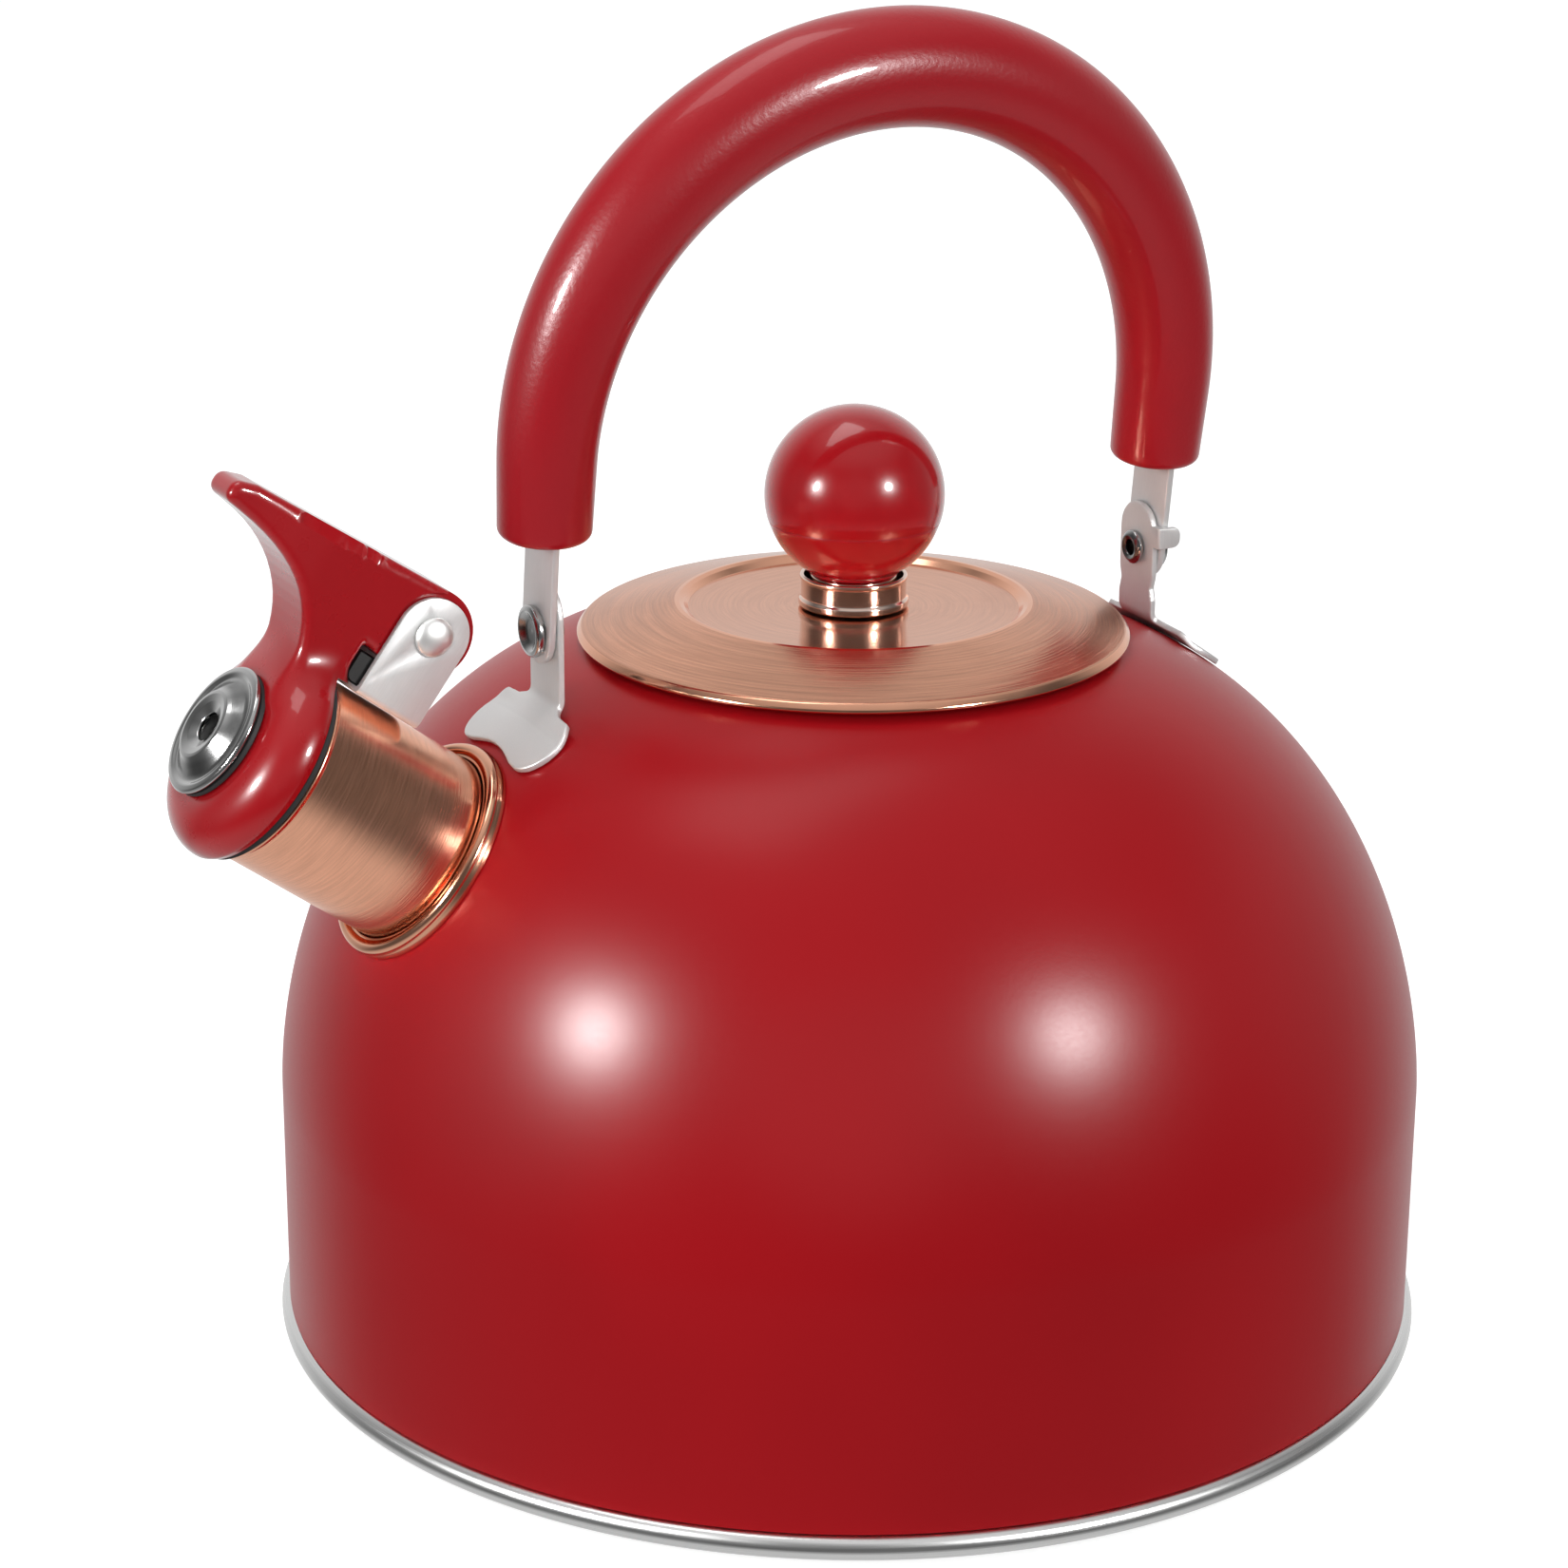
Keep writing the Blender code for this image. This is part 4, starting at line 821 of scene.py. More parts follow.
class KETTLE_OT_knob(PieceOperator, Operator):
    """Glossy ball knob, with its moulding seam, in a polished two-step ferrule"""

    bl_idname = "kettle.knob"
    bl_label = "Knob"

    def build(self):
        s = sizes()
        floor = low("knob_ferrule").z
        top = high("knob_ferrule").z
        cup = high("knob_ferrule").x
        wall = cup - 0.00035
        boss = 0.0074
        boss_top = low("knob_ball").z - 0.0003
        ferrule = [
            (0.0024, floor + 0.0006),
            (0.0041, floor + 0.0006),
            (0.0041, boss_top),
            (boss, boss_top, 0.0003),
            (boss, floor + 0.0006),
            (wall - 0.0006, floor + 0.0006),
            (wall - 0.0006, top, 0.0002),
            (wall + 0.0001, top, 0.0003),
            (wall + 0.0001, top - 0.0006, 0.0003),
            (wall - 0.0001, top - 0.0009, 0.0003),
            (wall - 0.0001, floor + 0.0017, 0.0004),
            (cup, floor + 0.0012, 0.0004),
            (cup, floor + 0.0003, 0.0003),
            (cup - 0.0003, floor, 0.0002),
            (0.0024, floor),
        ]
        here = Matrix.Translation((0.0, 0.0, floor))
        outline = raised(softened(ferrule, 0.0001, 4), -floor)
        add_turned("ferrule", outline, "ferrule_plate", LID, "knob_ferrule", here)
        self.build_ball(s.ball_radius)
        keep_node("knob_insert", "insert_brass")

    def build_ball(self, radius):
        centre = high("knob_ball").z - radius
        neck = 0.0078
        seam = -16.0
        last = -math.degrees(math.acos(neck / radius))
        groove = 0.00016
        upper = arc((0.0, 0.0), radius, 90, seam + 0.35, 60)
        upper[0] = (0.0, radius)
        lower = arc((0.0, 0.0), radius - 0.00006, seam - 0.35, last, 30)
        line = arc((0.0, 0.0), radius - groove, seam + 0.12, seam - 0.12, 1)
        foot = low("knob_ball").z - centre
        bore = 0.0039
        bore_top = 0.1423 - centre
        profile = upper + line + lower + [(neck, foot + 0.0002), (neck - 0.0002, foot), (bore, foot)]
        profile += [(bore, bore_top), (0.0, bore_top)]
        here = Matrix.Translation((0.0, 0.0, centre))
        add_turned("knob", profile, "knob_gloss", LID, "knob_ball", here, 192, sharp=60.0)


class KETTLE_OT_spout(PieceOperator, Operator):
    """Brushed copper tube and the polished bead that seats it on the dome"""

    bl_idname = "kettle.spout"
    bl_label = "Spout"
    start = -0.0148
    end = 0.0212

    def build(self):
        s = sizes()
        inner = s.tube_radius - s.sheet
        lip = s.tube_radius + 0.0007
        tube = [
            (inner, self.end, 0.0002),
            (lip - 0.0003, self.end, 0.0003),
            (lip, self.end - 0.0004, 0.0003),
            (s.tube_radius, self.end - 0.0011, 0.0006),
            (s.tube_radius, 0.004),
            (s.tube_radius, self.start),
            (inner, self.start),
        ]
        outline = softened(tube, 0.0, 5)
        add_turned("spout", outline, "tube_copper", BODY, "spout_tube", spout_matrix())
        self.build_collar(s)

    def build_collar(self, s):
        inner = s.tube_radius + 0.0003
        outer = s.collar_radius
        bead = 0.00085
        section = [(inner, 0.0), (inner, 0.0017), (inner + 0.0002, 0.0018)]
        section += arc((inner + 0.0013, 0.0022), 0.0010, 200, 292, 8)
        section += arc((outer - bead - 0.0001, 0.0017), bead, 150, -20, 16)
        section += [(outer, 0.0011), (outer, 0.0)]
        around = 160
        rings = []
        for i in range(around):
            turn = 2 * math.pi * i / around
            ring = []
            for radius, rise in section:
                along = self.seat(turn, radius) + rise
                ring.append((radius * math.cos(turn), radius * math.sin(turn), along))
            rings.append(ring)
        mesh = lofted("collar", rings, capped=False)
        add_piece("collar", mesh, "collar_copper", BODY, ["spout_collar"], spout_matrix())

    def seat(self, turn, radius):
        """How far along the spout's axis a line parallel to it, this far off it, leaves the dome."""
        root, out, above = spout_axes()
        side = out.cross(above)
        start = root + radius * (math.cos(turn) * above + math.sin(turn) * side)
        near, far = -0.030, 0.010
        for _ in range(30):
            middle = 0.5 * (near + far)
            point = start + middle * out
            reach = math.hypot(point.x, point.y)
            inside = reach < sizes().body_radius and point.z < dome_height(reach) + 0.0003
            near, far = (middle, far) if inside else (near, middle)
        return far


class KETTLE_OT_whistle(PieceOperator, Operator):
    """Whistle cap with its thumb lever, black core and seal, and the polished bezel"""

    bl_idname = "kettle.whistle"
    bl_label = "Whistle cap"
    rear = 0.0228
    bulge = 0.0238
    front = 0.0303
    bulge_radius = 0.0188
    face_radius = 0.0115
    bore = 0.0145
    bore_end = 0.0285
    hole = 0.0106
    half_width = 0.0078
    tip_half_width = 0.0048
    tip = 0.0538
    taper_start = 0.0340
    knuckle = 0.0076
    knuckle_half_width = 0.0066

    def build(self):
        self.build_lever()
        self.build_core()
        self.build_bezel()

    def front_curve(self):
        """The concave front of the lever as (above, along), from the tip to the cap."""
        ends = ((0.0321, self.tip - 0.0006), (0.0312, 0.0350), (0.0215, 0.0293), (0.0090, 0.0292))
        a, b, c, d = (Vector(p) for p in ends)
        points = []
        for t in np.linspace(0.0, 1.0, 19):
            p = (1 - t) ** 3 * a + 3 * t * (1 - t) ** 2 * b + 3 * t * t * (1 - t) * c + t**3 * d
            points.append(tuple(p))
        return points

    def width_at(self, along):
        """Half the lever's width, full at the cap and narrower at the tip."""
        t = np.clip((along - self.taper_start) / (self.tip - self.taper_start), 0.0, 1.0)
        return self.half_width + (self.tip_half_width - self.half_width) * t * t * (3 - 2 * t)

    def side_outline(self):
        """The lever from the side, as (above, along) points."""
        s = sizes()
        pin = (s.hinge_above, s.hinge_along)
        back = arc(pin, self.knuckle, 2, -180, 24)
        tip = [(0.0312, 0.0350), (0.0322, self.tip), (0.0356, self.tip), (0.0368, 0.0500), (0.0378, 0.0300)]
        tip = softened(tip, 0.0018, 6, closed=False)
        return [
            *self.front_curve()[:0:-1],
            *tip[1:-1],
            *back,
            (pin[0] - self.knuckle + 0.0008, 0.0213),
            (0.0185, 0.0213),
            (0.0172, self.rear - 0.0014),
            (0.0090, self.rear - 0.0014),
        ]

    def lever_field(self, outline):
        """A function that is negative inside the lever: the cap and the horn joined by a soft fillet."""
        corners = np.array(outline)
        following = np.roll(corners, -1, axis=0)
        fillet = 0.0042
        edge = 0.0015

        def outline_distance(points):
            best = np.full(len(points), 1.0)
            inside = np.zeros(len(points), bool)
            for a, b in zip(corners, following):
                side = b - a
                offset = points - a
                t = np.clip(offset @ side / (side @ side), 0.0, 1.0)
                gap = offset - t[:, None] * side
                best = np.minimum(best, np.hypot(gap[:, 0], gap[:, 1]))
                crosses = (a[1] > points[:, 1]) != (b[1] > points[:, 1])
                rise = side[1] if abs(side[1]) > 1e-12 else 1e-12
                inside ^= crosses & (points[:, 0] < a[0] + side[0] * (points[:, 1] - a[1]) / rise)
            return np.where(inside, -best, best)

        def field(points):
            x, y, z = points.T
            radius = np.hypot(x, y)
            cone = self.bulge_radius - 0.0005 * np.clip((self.bulge - z) / 0.0010, 0.0, 1.0)
            across = (radius - self.face_radius) / (cone - self.face_radius)
            forward = np.maximum(z - self.bulge, 0.0) / (self.front - self.bulge)
            quarter = (np.hypot(np.maximum(across, 0.0), forward) - 1.0) * 0.0068
            cap = np.where(across > 0, quarter, z - self.front)
            side = np.abs(y) - self.width_at(z)
            flat = outline_distance(np.stack([x, z], axis=1))
            grown = np.stack([flat, side], axis=1) + edge
            horn = np.linalg.norm(np.maximum(grown, 0.0), axis=1) + np.minimum(grown.max(axis=1), 0.0) - edge
            h = np.clip(0.5 + 0.5 * (horn - cap) / fillet, 0.0, 1.0)
            return horn * (1 - h) + cap * h - fillet * h * (1 - h)

        return field

    def build_lever(self):
        outline = self.side_outline()
        shoulder = arc((0.0, 0.0), 1.0, 90, 0, 12)
        face, rise = self.bulge_radius - self.face_radius, self.front - self.bulge
        cap = [(0.0, self.front)]
        cap += [(self.face_radius + face * r, self.bulge + rise * z) for r, z in shoulder]
        cap += [(self.bulge_radius, self.rear - 0.0014), (0.0, self.rear - 0.0014)]
        horn = prism("horn_blank", outline, self.half_width)
        for vertex in horn.vertices:
            vertex.co.y *= (self.width_at(vertex.co.z) - 0.0003) / self.half_width
        rough = bmesh.new()
        rough.from_mesh(turned("cap_blank", cap, 96))
        rough.from_mesh(horn)
        mesh = shell_of(rough, "whistle_lever")
        here = spout_matrix()
        piece = add_piece("lever", mesh, "lever_gloss", CAP, ["whistle_lever"], here)
        reskin(piece, 0.00040)
        self.project(piece.data, self.lever_field(outline))
        self.cut_lever(piece)
        straighten(piece)
        piece.data.shade_smooth()
        piece.data.set_sharp_from_angle(angle=math.radians(38))

    def project(self, mesh, field):
        """Moves each point onto the field's zero surface."""
        points = points_of(mesh)
        step, furthest, least_slope = 0.00002, 0.0008, 0.05
        for _ in range(6):
            here = field(points)
            sides = [(field(points + step * axis), field(points - step * axis)) for axis in np.eye(3)]
            slope = np.stack([(after - before) / (2 * step) for after, before in sides], axis=1)
            steep = np.maximum((slope**2).sum(axis=1), least_slope)
            points -= np.clip(here / steep, -furthest, furthest)[:, None] * slope
        move_points(mesh, points)

    def cut_lever(self, piece):
        s = sizes()
        here = piece.matrix_world
        u, v = s.hinge_above, s.hinge_along
        recess = self.knuckle - 0.0004
        deep = self.knuckle_half_width
        ear = arc((u, v), recess, 12, 90, 16)
        outside = (u + 0.0140, v), (u + 0.0140, -0.0020), (0.0150, -0.0020)
        behind = [(0.0150, v + recess), (0.0246, v + recess), *ear[::-1], *outside]
        for sign in (-1, 1):
            tool = prism("ear_room", behind, 0.0030)
            cut(piece, tool, here @ Matrix.Translation((0.0, sign * (deep + 0.0030), 0.0)))
        cut(piece, rod("cap_inside", self.bore, 0.010, self.bore_end, 160), here)
        cut(piece, rod("cap_hole", self.hole, 0.020, 0.040, 160), here)
        trim = [(-0.0260, 0.0100), (0.0176, 0.0100), (0.0176, self.rear), (-0.0260, self.rear)]
        cut(piece, prism("rear_trim", trim, 0.0260), here)
        below, above, behind_pin, ahead = u - 0.0111, u + 0.0045, v - 0.0060, v + 0.0056
        spring = [(below, behind_pin), (above, behind_pin), (above, ahead), (below, ahead)]
        cut(piece, prism("spring_room", spring, 0.0036), here)
        cut(piece, rod("pin_hole", 0.0018, -0.015, 0.015), along_y(here, u, v))

    def build_core(self):
        lo_front = self.front + 0.0003
        shoulder = self.bore_end - 0.0003
        rear = 0.0210
        core = [
            (0.0089, lo_front + 0.0008),
            (0.0111, lo_front + 0.0008, 0.0003),
            (0.0111, lo_front),
            (0.0103, lo_front),
            (0.0103, shoulder),
            (0.0142, shoulder),
            (0.0142, rear, 0.0004),
            (0.0077, rear, 0.0003),
            (0.0077, rear + 0.0012),
            (0.0089, rear + 0.0012),
        ]
        here = spout_matrix()
        core = softened(core, 0.0, 4)
        add_turned("whistle_body", core, "black_nylon", CAP, "whistle_core", here)
        inner, outer, top, bottom = 0.0145, 0.0179, self.rear - 0.0003, 0.0215
        seal = softened([(inner, top), (outer, top), (outer, bottom), (inner, bottom)], 0.0003, 4)
        add_turned("seal", seal, "black_rubber", CAP, "spout_seal", here)

    def build_bezel(self):
        back = self.front + 0.0014
        throat = 0.0086
        rim = 0.0114
        bezel = [
            (0.00245, back + 0.0018, 0.0003),
            (0.0042, back + 0.0025, 0.0012),
            (0.0054, back + 0.0028, 0.0006),
            (0.0060, back + 0.0027, 0.0006),
            (0.0066, back + 0.0022, 0.0008),
            (0.0084, back + 0.0009, 0.0012),
            (0.0092, back + 0.0006, 0.0008),
            (0.0101, back + 0.0011, 0.0008),
            (rim - 0.0004, back + 0.0009, 0.0005),
            (rim, back + 0.0004, 0.0004),
            (rim - 0.0003, back, 0.0002),
            (throat, back),
            (throat, 0.0270),
            (throat - 0.0005, 0.0270),
            (throat - 0.0005, back, 0.0004),
            (0.0058, back + 0.0021, 0.0006),
            (0.0030, back + 0.0013, 0.0003),
            (0.00245, back + 0.0009, 0.0002),
        ]
        here = spout_matrix()
        bezel = softened(bezel, 0.0, 5)
        add_turned("bezel", bezel, "bezel_steel", CAP, "whistle_bezel", here)
        hole, top, bottom = 0.0015, 0.0260, 0.0255
        plate = softened([(hole, top), (throat, top), (throat, bottom), (hole, bottom)], 0.00015, 3)
        add_turned("reed_plate", plate, "bright_steel", CAP, "whistle_back_plate", here, 96)


class KETTLE_OT_hinge(PieceOperator, Operator):
    """Pressed steel channel with two ears, domed pin, torsion spring and black block"""

    bl_idname = "kettle.hinge"
    bl_label = "Whistle hinge"

    def build(self):
        s = sizes()
        here = spout_matrix()
        u, v = s.hinge_above, s.hinge_along
        ear = 0.0063
        outer, inner = high("hinge_bracket").y, 0.0070
        foot = 0.0169
        sheet = outer - inner
        outline = [(foot, v - ear, 0.0004), *arc((u, v), ear, -90, 90, 40), (foot, v + ear, 0.0004)]
        channel = self.channel(outer, foot, foot + 0.0010, sheet, u + 0.0200)
        node = ["hinge_bracket"]
        piece = add_piece("hinge_channel", channel, "ear_steel", BODY, node, here)
        cut(piece, prism("ear_shape", softened(outline, 0.0, 4), outer + 0.002), here, "INTERSECT")
        cut(piece, rod("pin_room", 0.0018, -0.020, 0.020), along_y(here, u, v))
        bevel = piece.modifiers.new("pressed edges", "BEVEL")
        bevel.width = 0.00018
        bevel.segments = 2
        bevel.limit_method = "ANGLE"
        bevel.angle_limit = math.radians(60)
        settle(piece)
        piece.data.shade_smooth()
        piece.data.set_sharp_from_angle(angle=math.radians(40))
        self.build_pin(here, u, v, outer)
        self.build_spring(here, u, v)
        keep_node("hinge_block", "black_nylon")

    def channel(self, outer, bottom, floor, sheet, top):
        """A bent strip, U-shaped across the spout, as long as the ears are wide."""
        bend = 0.0012
        half = [(outer, top), (outer, bottom, bend), (-outer, bottom, bend), (-outer, top)]
        outline = softened(half, 0.0, 8)
        inside = outer - sheet
        hollow = [(-inside, top), (-inside, floor, 0.0005), (inside, floor, 0.0005), (inside, top)]
        ring = [(outer, top), *outline[1:-1], (-outer, top), *softened(hollow, 0.0, 6)]
        bm = bmesh.new()
        ends = []
        for along in (0.0, 0.0300):
            ends.append([bm.verts.new((height, across, along - 0.0030)) for across, height in ring])
        for end in ends:
            bm.faces.new(end)
        for i in range(len(ring)):
            j = (i + 1) % len(ring)
            bm.faces.new((ends[0][i], ends[0][j], ends[1][j], ends[1][i]))
        return shell_of(bm, "hinge_channel")

    def build_pin(self, here, u, v, outer):
        head, rise, shank = high("hinge_pin").z - HINGE.z, 0.0016, 0.0015
        face = outer + 0.0003
        upper = [(head * r, face + rise * z) for r, z in arc((0.0, 0.0), 1.0, 90, 0, 14)]
        upper[0] = (0.0, face + rise)
        profile = [*upper, (shank, face), (shank, -face)]
        profile += [(r, -z) for r, z in reversed(upper)]
        place = along_y(here, u, v)
        add_turned("pin", profile, "bright_steel", BODY, "hinge_pin", place, 96)

    def build_spring(self, here, u, v):
        """A torsion coil with one leg under the lever and one on the block."""
        radius, wire, reach, turns = 0.0030, 0.00045, 0.0026, 3.75
        steps = 120
        points = [(radius, reach, 0.0030)]
        for i in range(steps + 1):
            a = 2 * math.pi * turns * i / steps
            points.append((radius * math.cos(a), reach * (1 - 2 * i / steps), -radius * math.sin(a)))
        points.append((-0.0050, -reach, radius))
        rings = tube_rings([Vector(p) for p in points], wire, 14)
        mesh = lofted("spring", rings)
        place = here @ Matrix.Translation((u, 0.0, v))
        add_piece("spring", mesh, "bright_steel", BODY, ["hinge_spring"], place)


def direction_at(path, i):
    """Which way a path runs at its point i."""
    return (path[min(i + 1, len(path) - 1)] - path[max(i - 1, 0)]).normalized()


def tube_rings(path, radius, sides):
    """Rings of points round a path."""
    rings = []
    normal = None
    for i, point in enumerate(path):
        along = direction_at(path, i)
        if normal is None:
            normal = along.orthogonal().normalized()
        normal = (normal - normal.dot(along) * along).normalized()
        other = along.cross(normal)
        turns = [2 * math.pi * k / sides for k in range(sides)]
        rings.append([point + radius * (math.cos(a) * normal + math.sin(a) * other) for a in turns])
    return rings


class KETTLE_OT_handle(PieceOperator, Operator):
    """Moulded arch grip on its steel strap"""

    bl_idname = "kettle.handle"
    bl_label = "Handle"
    end_span = 0.0587
    grip_foot = 0.0168
    strap_span = 0.0590
    strap_thickness = 0.0012
    strap_half_width = 0.0055

    def build(self):
        s = sizes()
        here = Matrix.Translation(PIVOT) @ Matrix.Rotation(s.lean, 4, "X")
        self.build_grip(s, here)
        self.build_strap(here)

    def arch(self, span, end_span, foot, legs, steps):
        """Points from the -X end over the top to the +X end, heights from the pivots."""
        s = sizes()
        leg = []
        for i in range(legs):
            t = i / legs
            out = end_span + (span - end_span) * t * t * (3 - 2 * t)
            leg.append((out, foot + (s.leg_top - foot) * t))
        path = [Vector((-x, 0.0, z)) for x, z in leg]
        for i in range(steps + 1):
            a = math.pi * (1 - i / steps)
            path.append(Vector((span * math.cos(a), 0.0, s.leg_top + s.arch_rise * math.sin(a))))
        return path + [Vector((x, 0.0, z)) for x, z in reversed(leg)]

    def build_grip(self, s, here):
        path = self.arch(s.arch_span, self.end_span, self.grip_foot, 10, 150)
        sides = 72
        edge = 0.0014
        stations = [0.0]
        for a, b in zip(path, path[1:]):
            stations.append(stations[-1] + (b - a).length)
        total = stations[-1]
        close = [edge * (1 - math.cos(a)) for a in np.linspace(0.0, math.pi / 2, 7)]
        wanted = close + [x for x in stations if edge < x < total - edge]
        wanted += [total - x for x in reversed(close)]
        xs = np.interp(wanted, stations, [p.x for p in path])
        zs = np.interp(wanted, stations, [p.z for p in path])
        rings = []
        points = [Vector((x, 0.0, z)) for x, z in zip(xs, zs)]
        for i, (point, at) in enumerate(zip(points, wanted)):
            along = direction_at(points, i)
            outward = Vector((-along.z, 0.0, along.x))
            radius = s.grip_end + (s.grip_top - s.grip_end) * math.sin(math.pi * at / total)
            depth = min(at, total - at)
            if depth < edge:
                radius -= edge - math.sqrt(max(edge**2 - (edge - depth) ** 2, 0.0))
            turns = [2 * math.pi * k / sides for k in range(sides)]
            side = Vector((0.0, 1.0, 0.0))
            rings.append([point + radius * (math.cos(a) * outward + math.sin(a) * side) for a in turns])
        mesh = lofted("grip", rings)
        piece = add_piece("grip", mesh, "grip_gloss", HANDLE, ["handle_grip"], here)
        for sign in (-1, 1):
            room = self.strap_thickness / 2 + 0.0003
            x = sign * self.strap_span
            depth = 0.0280
            slot = [(x - room, 0.0), (x + room, 0.0), (x + room, depth), (x - room, depth)]
            cut(piece, prism("strap_slot", slot, self.strap_half_width + 0.0003), here)
        straighten(piece)

    def build_strap(self, here):
        """A sheet strip with round ends, its long edges slightly rounded, drilled for the rivets."""
        half = self.strap_half_width
        thick = self.strap_thickness / 2
        path = self.arch(self.strap_span, self.strap_span, 0.0, 12, 60)
        ends = [(half * math.sin(a), half * math.cos(a)) for a in np.linspace(0.06, math.pi / 2, 20)]
        left = [Vector((-self.strap_span, 0.0, -drop)) for _, drop in ends[:-1]]
        right = [Vector((self.strap_span, 0.0, -drop)) for _, drop in reversed(ends[:-1])]
        widths = [w for w, _ in ends[:-1]] + [half] * len(path) + [w for w, _ in reversed(ends[:-1])]
        points = left + path + right
        soft = 0.0002
        rings = []
        for i, (point, width) in enumerate(zip(points, widths)):
            along = direction_at(points, i)
            outward = Vector((-along.z, 0.0, along.x))
            corners = [(thick, -width), (thick, width), (-thick, width), (-thick, -width)]
            section = softened(corners, min(soft, width * 0.4), 2)
            rings.append([point + outward * a + Vector((0.0, b, 0.0)) for a, b in section])
        mesh = lofted("strap", rings)
        piece = add_piece("strap", mesh, "strap_steel", HANDLE, ["handle_strap"], here)
        across = here @ Matrix.Rotation(math.radians(90), 4, "Y")
        cut(piece, rod("rivet_hole", 0.0022, -0.080, 0.080), across)


class KETTLE_OT_brackets(PieceOperator, Operator):
    """Pressed steel brackets, bent from the dome up to the rivets, and the rivets"""

    bl_idname = "kettle.brackets"
    bl_label = "Brackets and rivets"
    inner = 0.0570
    outer = 0.0581
    neck = 0.0590

    def build(self):
        self.build_bracket("front_bracket", "bracket_front", math.pi, 0.0058, 0.0)
        self.build_bracket("rear_bracket", "bracket_rear", 0.0, 0.0053, 0.0006)
        self.build_rivet("front_rivet", "rivet_front", -1)
        self.build_rivet("rear_rivet", "rivet_rear", 1)

    def sheet_line(self):
        """The middle of the sheet in its own plane: down the arm, round the bend and out along the dome."""
        half = 0.5 * (self.outer - self.inner)
        x = self.inner + half
        top = high("bracket_front").z
        lift = 0.0004 + half
        slope = math.atan2(dome_height(0.060) - dome_height(0.064), 0.004)
        bend = 0.0021
        bend_x = x + bend
        bend_z = dome_height(x + bend) + lift + bend * 0.42
        points = [(x, top), (x, bend_z + bend)]
        turn = math.pi / 2 - slope
        for a in np.linspace(0.1, turn, 10):
            points.append((bend_x - bend * math.cos(a), bend_z + bend - bend * math.sin(a)))
        start = points[-1]
        drop = start[1] - dome_height(start[0]) - lift
        for i in range(1, 31):
            reach = start[0] + 0.0120 * i / 30
            points.append((reach, dome_height(reach) + lift + drop * max(1 - i / 8, 0.0)))
        return points

    def flat_outline(self, half_width, waist, line, steps):
        """The blank before bending: (distance down the sheet, sideways)."""

        def distance_at(x):
            xs = [p[0] for p in line]
            return float(np.interp(x, xs[1:], steps[1:]))

        arm = arc((half_width, 0.0), half_width, 180, 90, 16)
        waist_at = 0.0148
        if waist:
            arm += [(half_width + 0.0050, half_width), (waist_at - 0.0022, half_width)]
            arm += [(waist_at, half_width - waist), (waist_at + 0.0022, half_width)]
        lobe = [(distance_at(x), y) for x, y in arc((0.0633, 0.0092), 0.0048, 150, 5, 18)]
        start = distance_at(self.neck)
        shoulder = [(start - 0.0010, half_width, 0.0010), (start, half_width + 0.0020, 0.0010)]
        scallop = ((0.0680, 0.0077), (0.0675, 0.0050), (0.0671, 0.0024), (0.0670, 0.0))
        tail = [(distance_at(x), y) for x, y in scallop]
        side = softened([*arm, *shoulder, *lobe, *tail], 0.0006, 4, closed=False)
        return side + [(d, -w) for d, w in reversed(side[1:-1])]

    def build_bracket(self, name, node, turn, half_width, waist):
        line = self.sheet_line()
        steps = [0.0]
        for a, b in zip(line, line[1:]):
            steps.append(steps[-1] + math.dist(a, b))
        outline = self.flat_outline(half_width, waist, line, steps)
        half = 0.5 * (self.outer - self.inner)
        blank = prism(name, outline, half, 0.0)
        piece = add_piece(name, blank, "strap_steel", BODY, [node])
        hole_at = high(node).z - PIVOT.z
        bore = rod("rivet_room", 0.0022, -0.005, 0.005)
        cut(piece, bore, along_y(Matrix(), hole_at, 0.0))
        reskin(piece, 0.00022)
        self.bend(piece.data, line, steps, turn)
        soften = piece.modifiers.new("soften", "SMOOTH")
        soften.iterations = 3
        soften.factor = 0.5
        settle(piece)
        piece.data.shade_smooth()
        if waist:
            self.add_stop(piece)

    def bend(self, mesh, line, steps, turn):
        """Bends the flat blank along its line and lays its wings on the dome."""
        down, out, side = points_of(mesh).T
        fine = np.linspace(0.0, steps[-1], 400)
        xs = np.interp(fine, steps, [p[0] for p in line])
        zs = np.interp(fine, steps, [p[1] for p in line])
        slope_x, slope_z = np.gradient(xs, fine), np.gradient(zs, fine)
        size = np.hypot(slope_x, slope_z)
        x = np.interp(down, fine, xs)
        z = np.interp(down, fine, zs)
        normal_x = np.interp(down, fine, -slope_z / size)
        normal_z = np.interp(down, fine, slope_x / size)
        x, z = x + normal_x * out, z + normal_z * out
        radial = np.hypot(x, side)
        share = np.clip((down - steps[12]) / 0.0025, 0.0, 1.0)
        fall = np.array([dome_height(r) - dome_height(a) for r, a in zip(radial, x)])
        z = z + fall * share * share * (3 - 2 * share)
        cosine, sine = math.cos(turn), math.sin(turn)
        move_points(mesh, np.stack([x * cosine - side * sine, x * sine + side * cosine, z], axis=1))

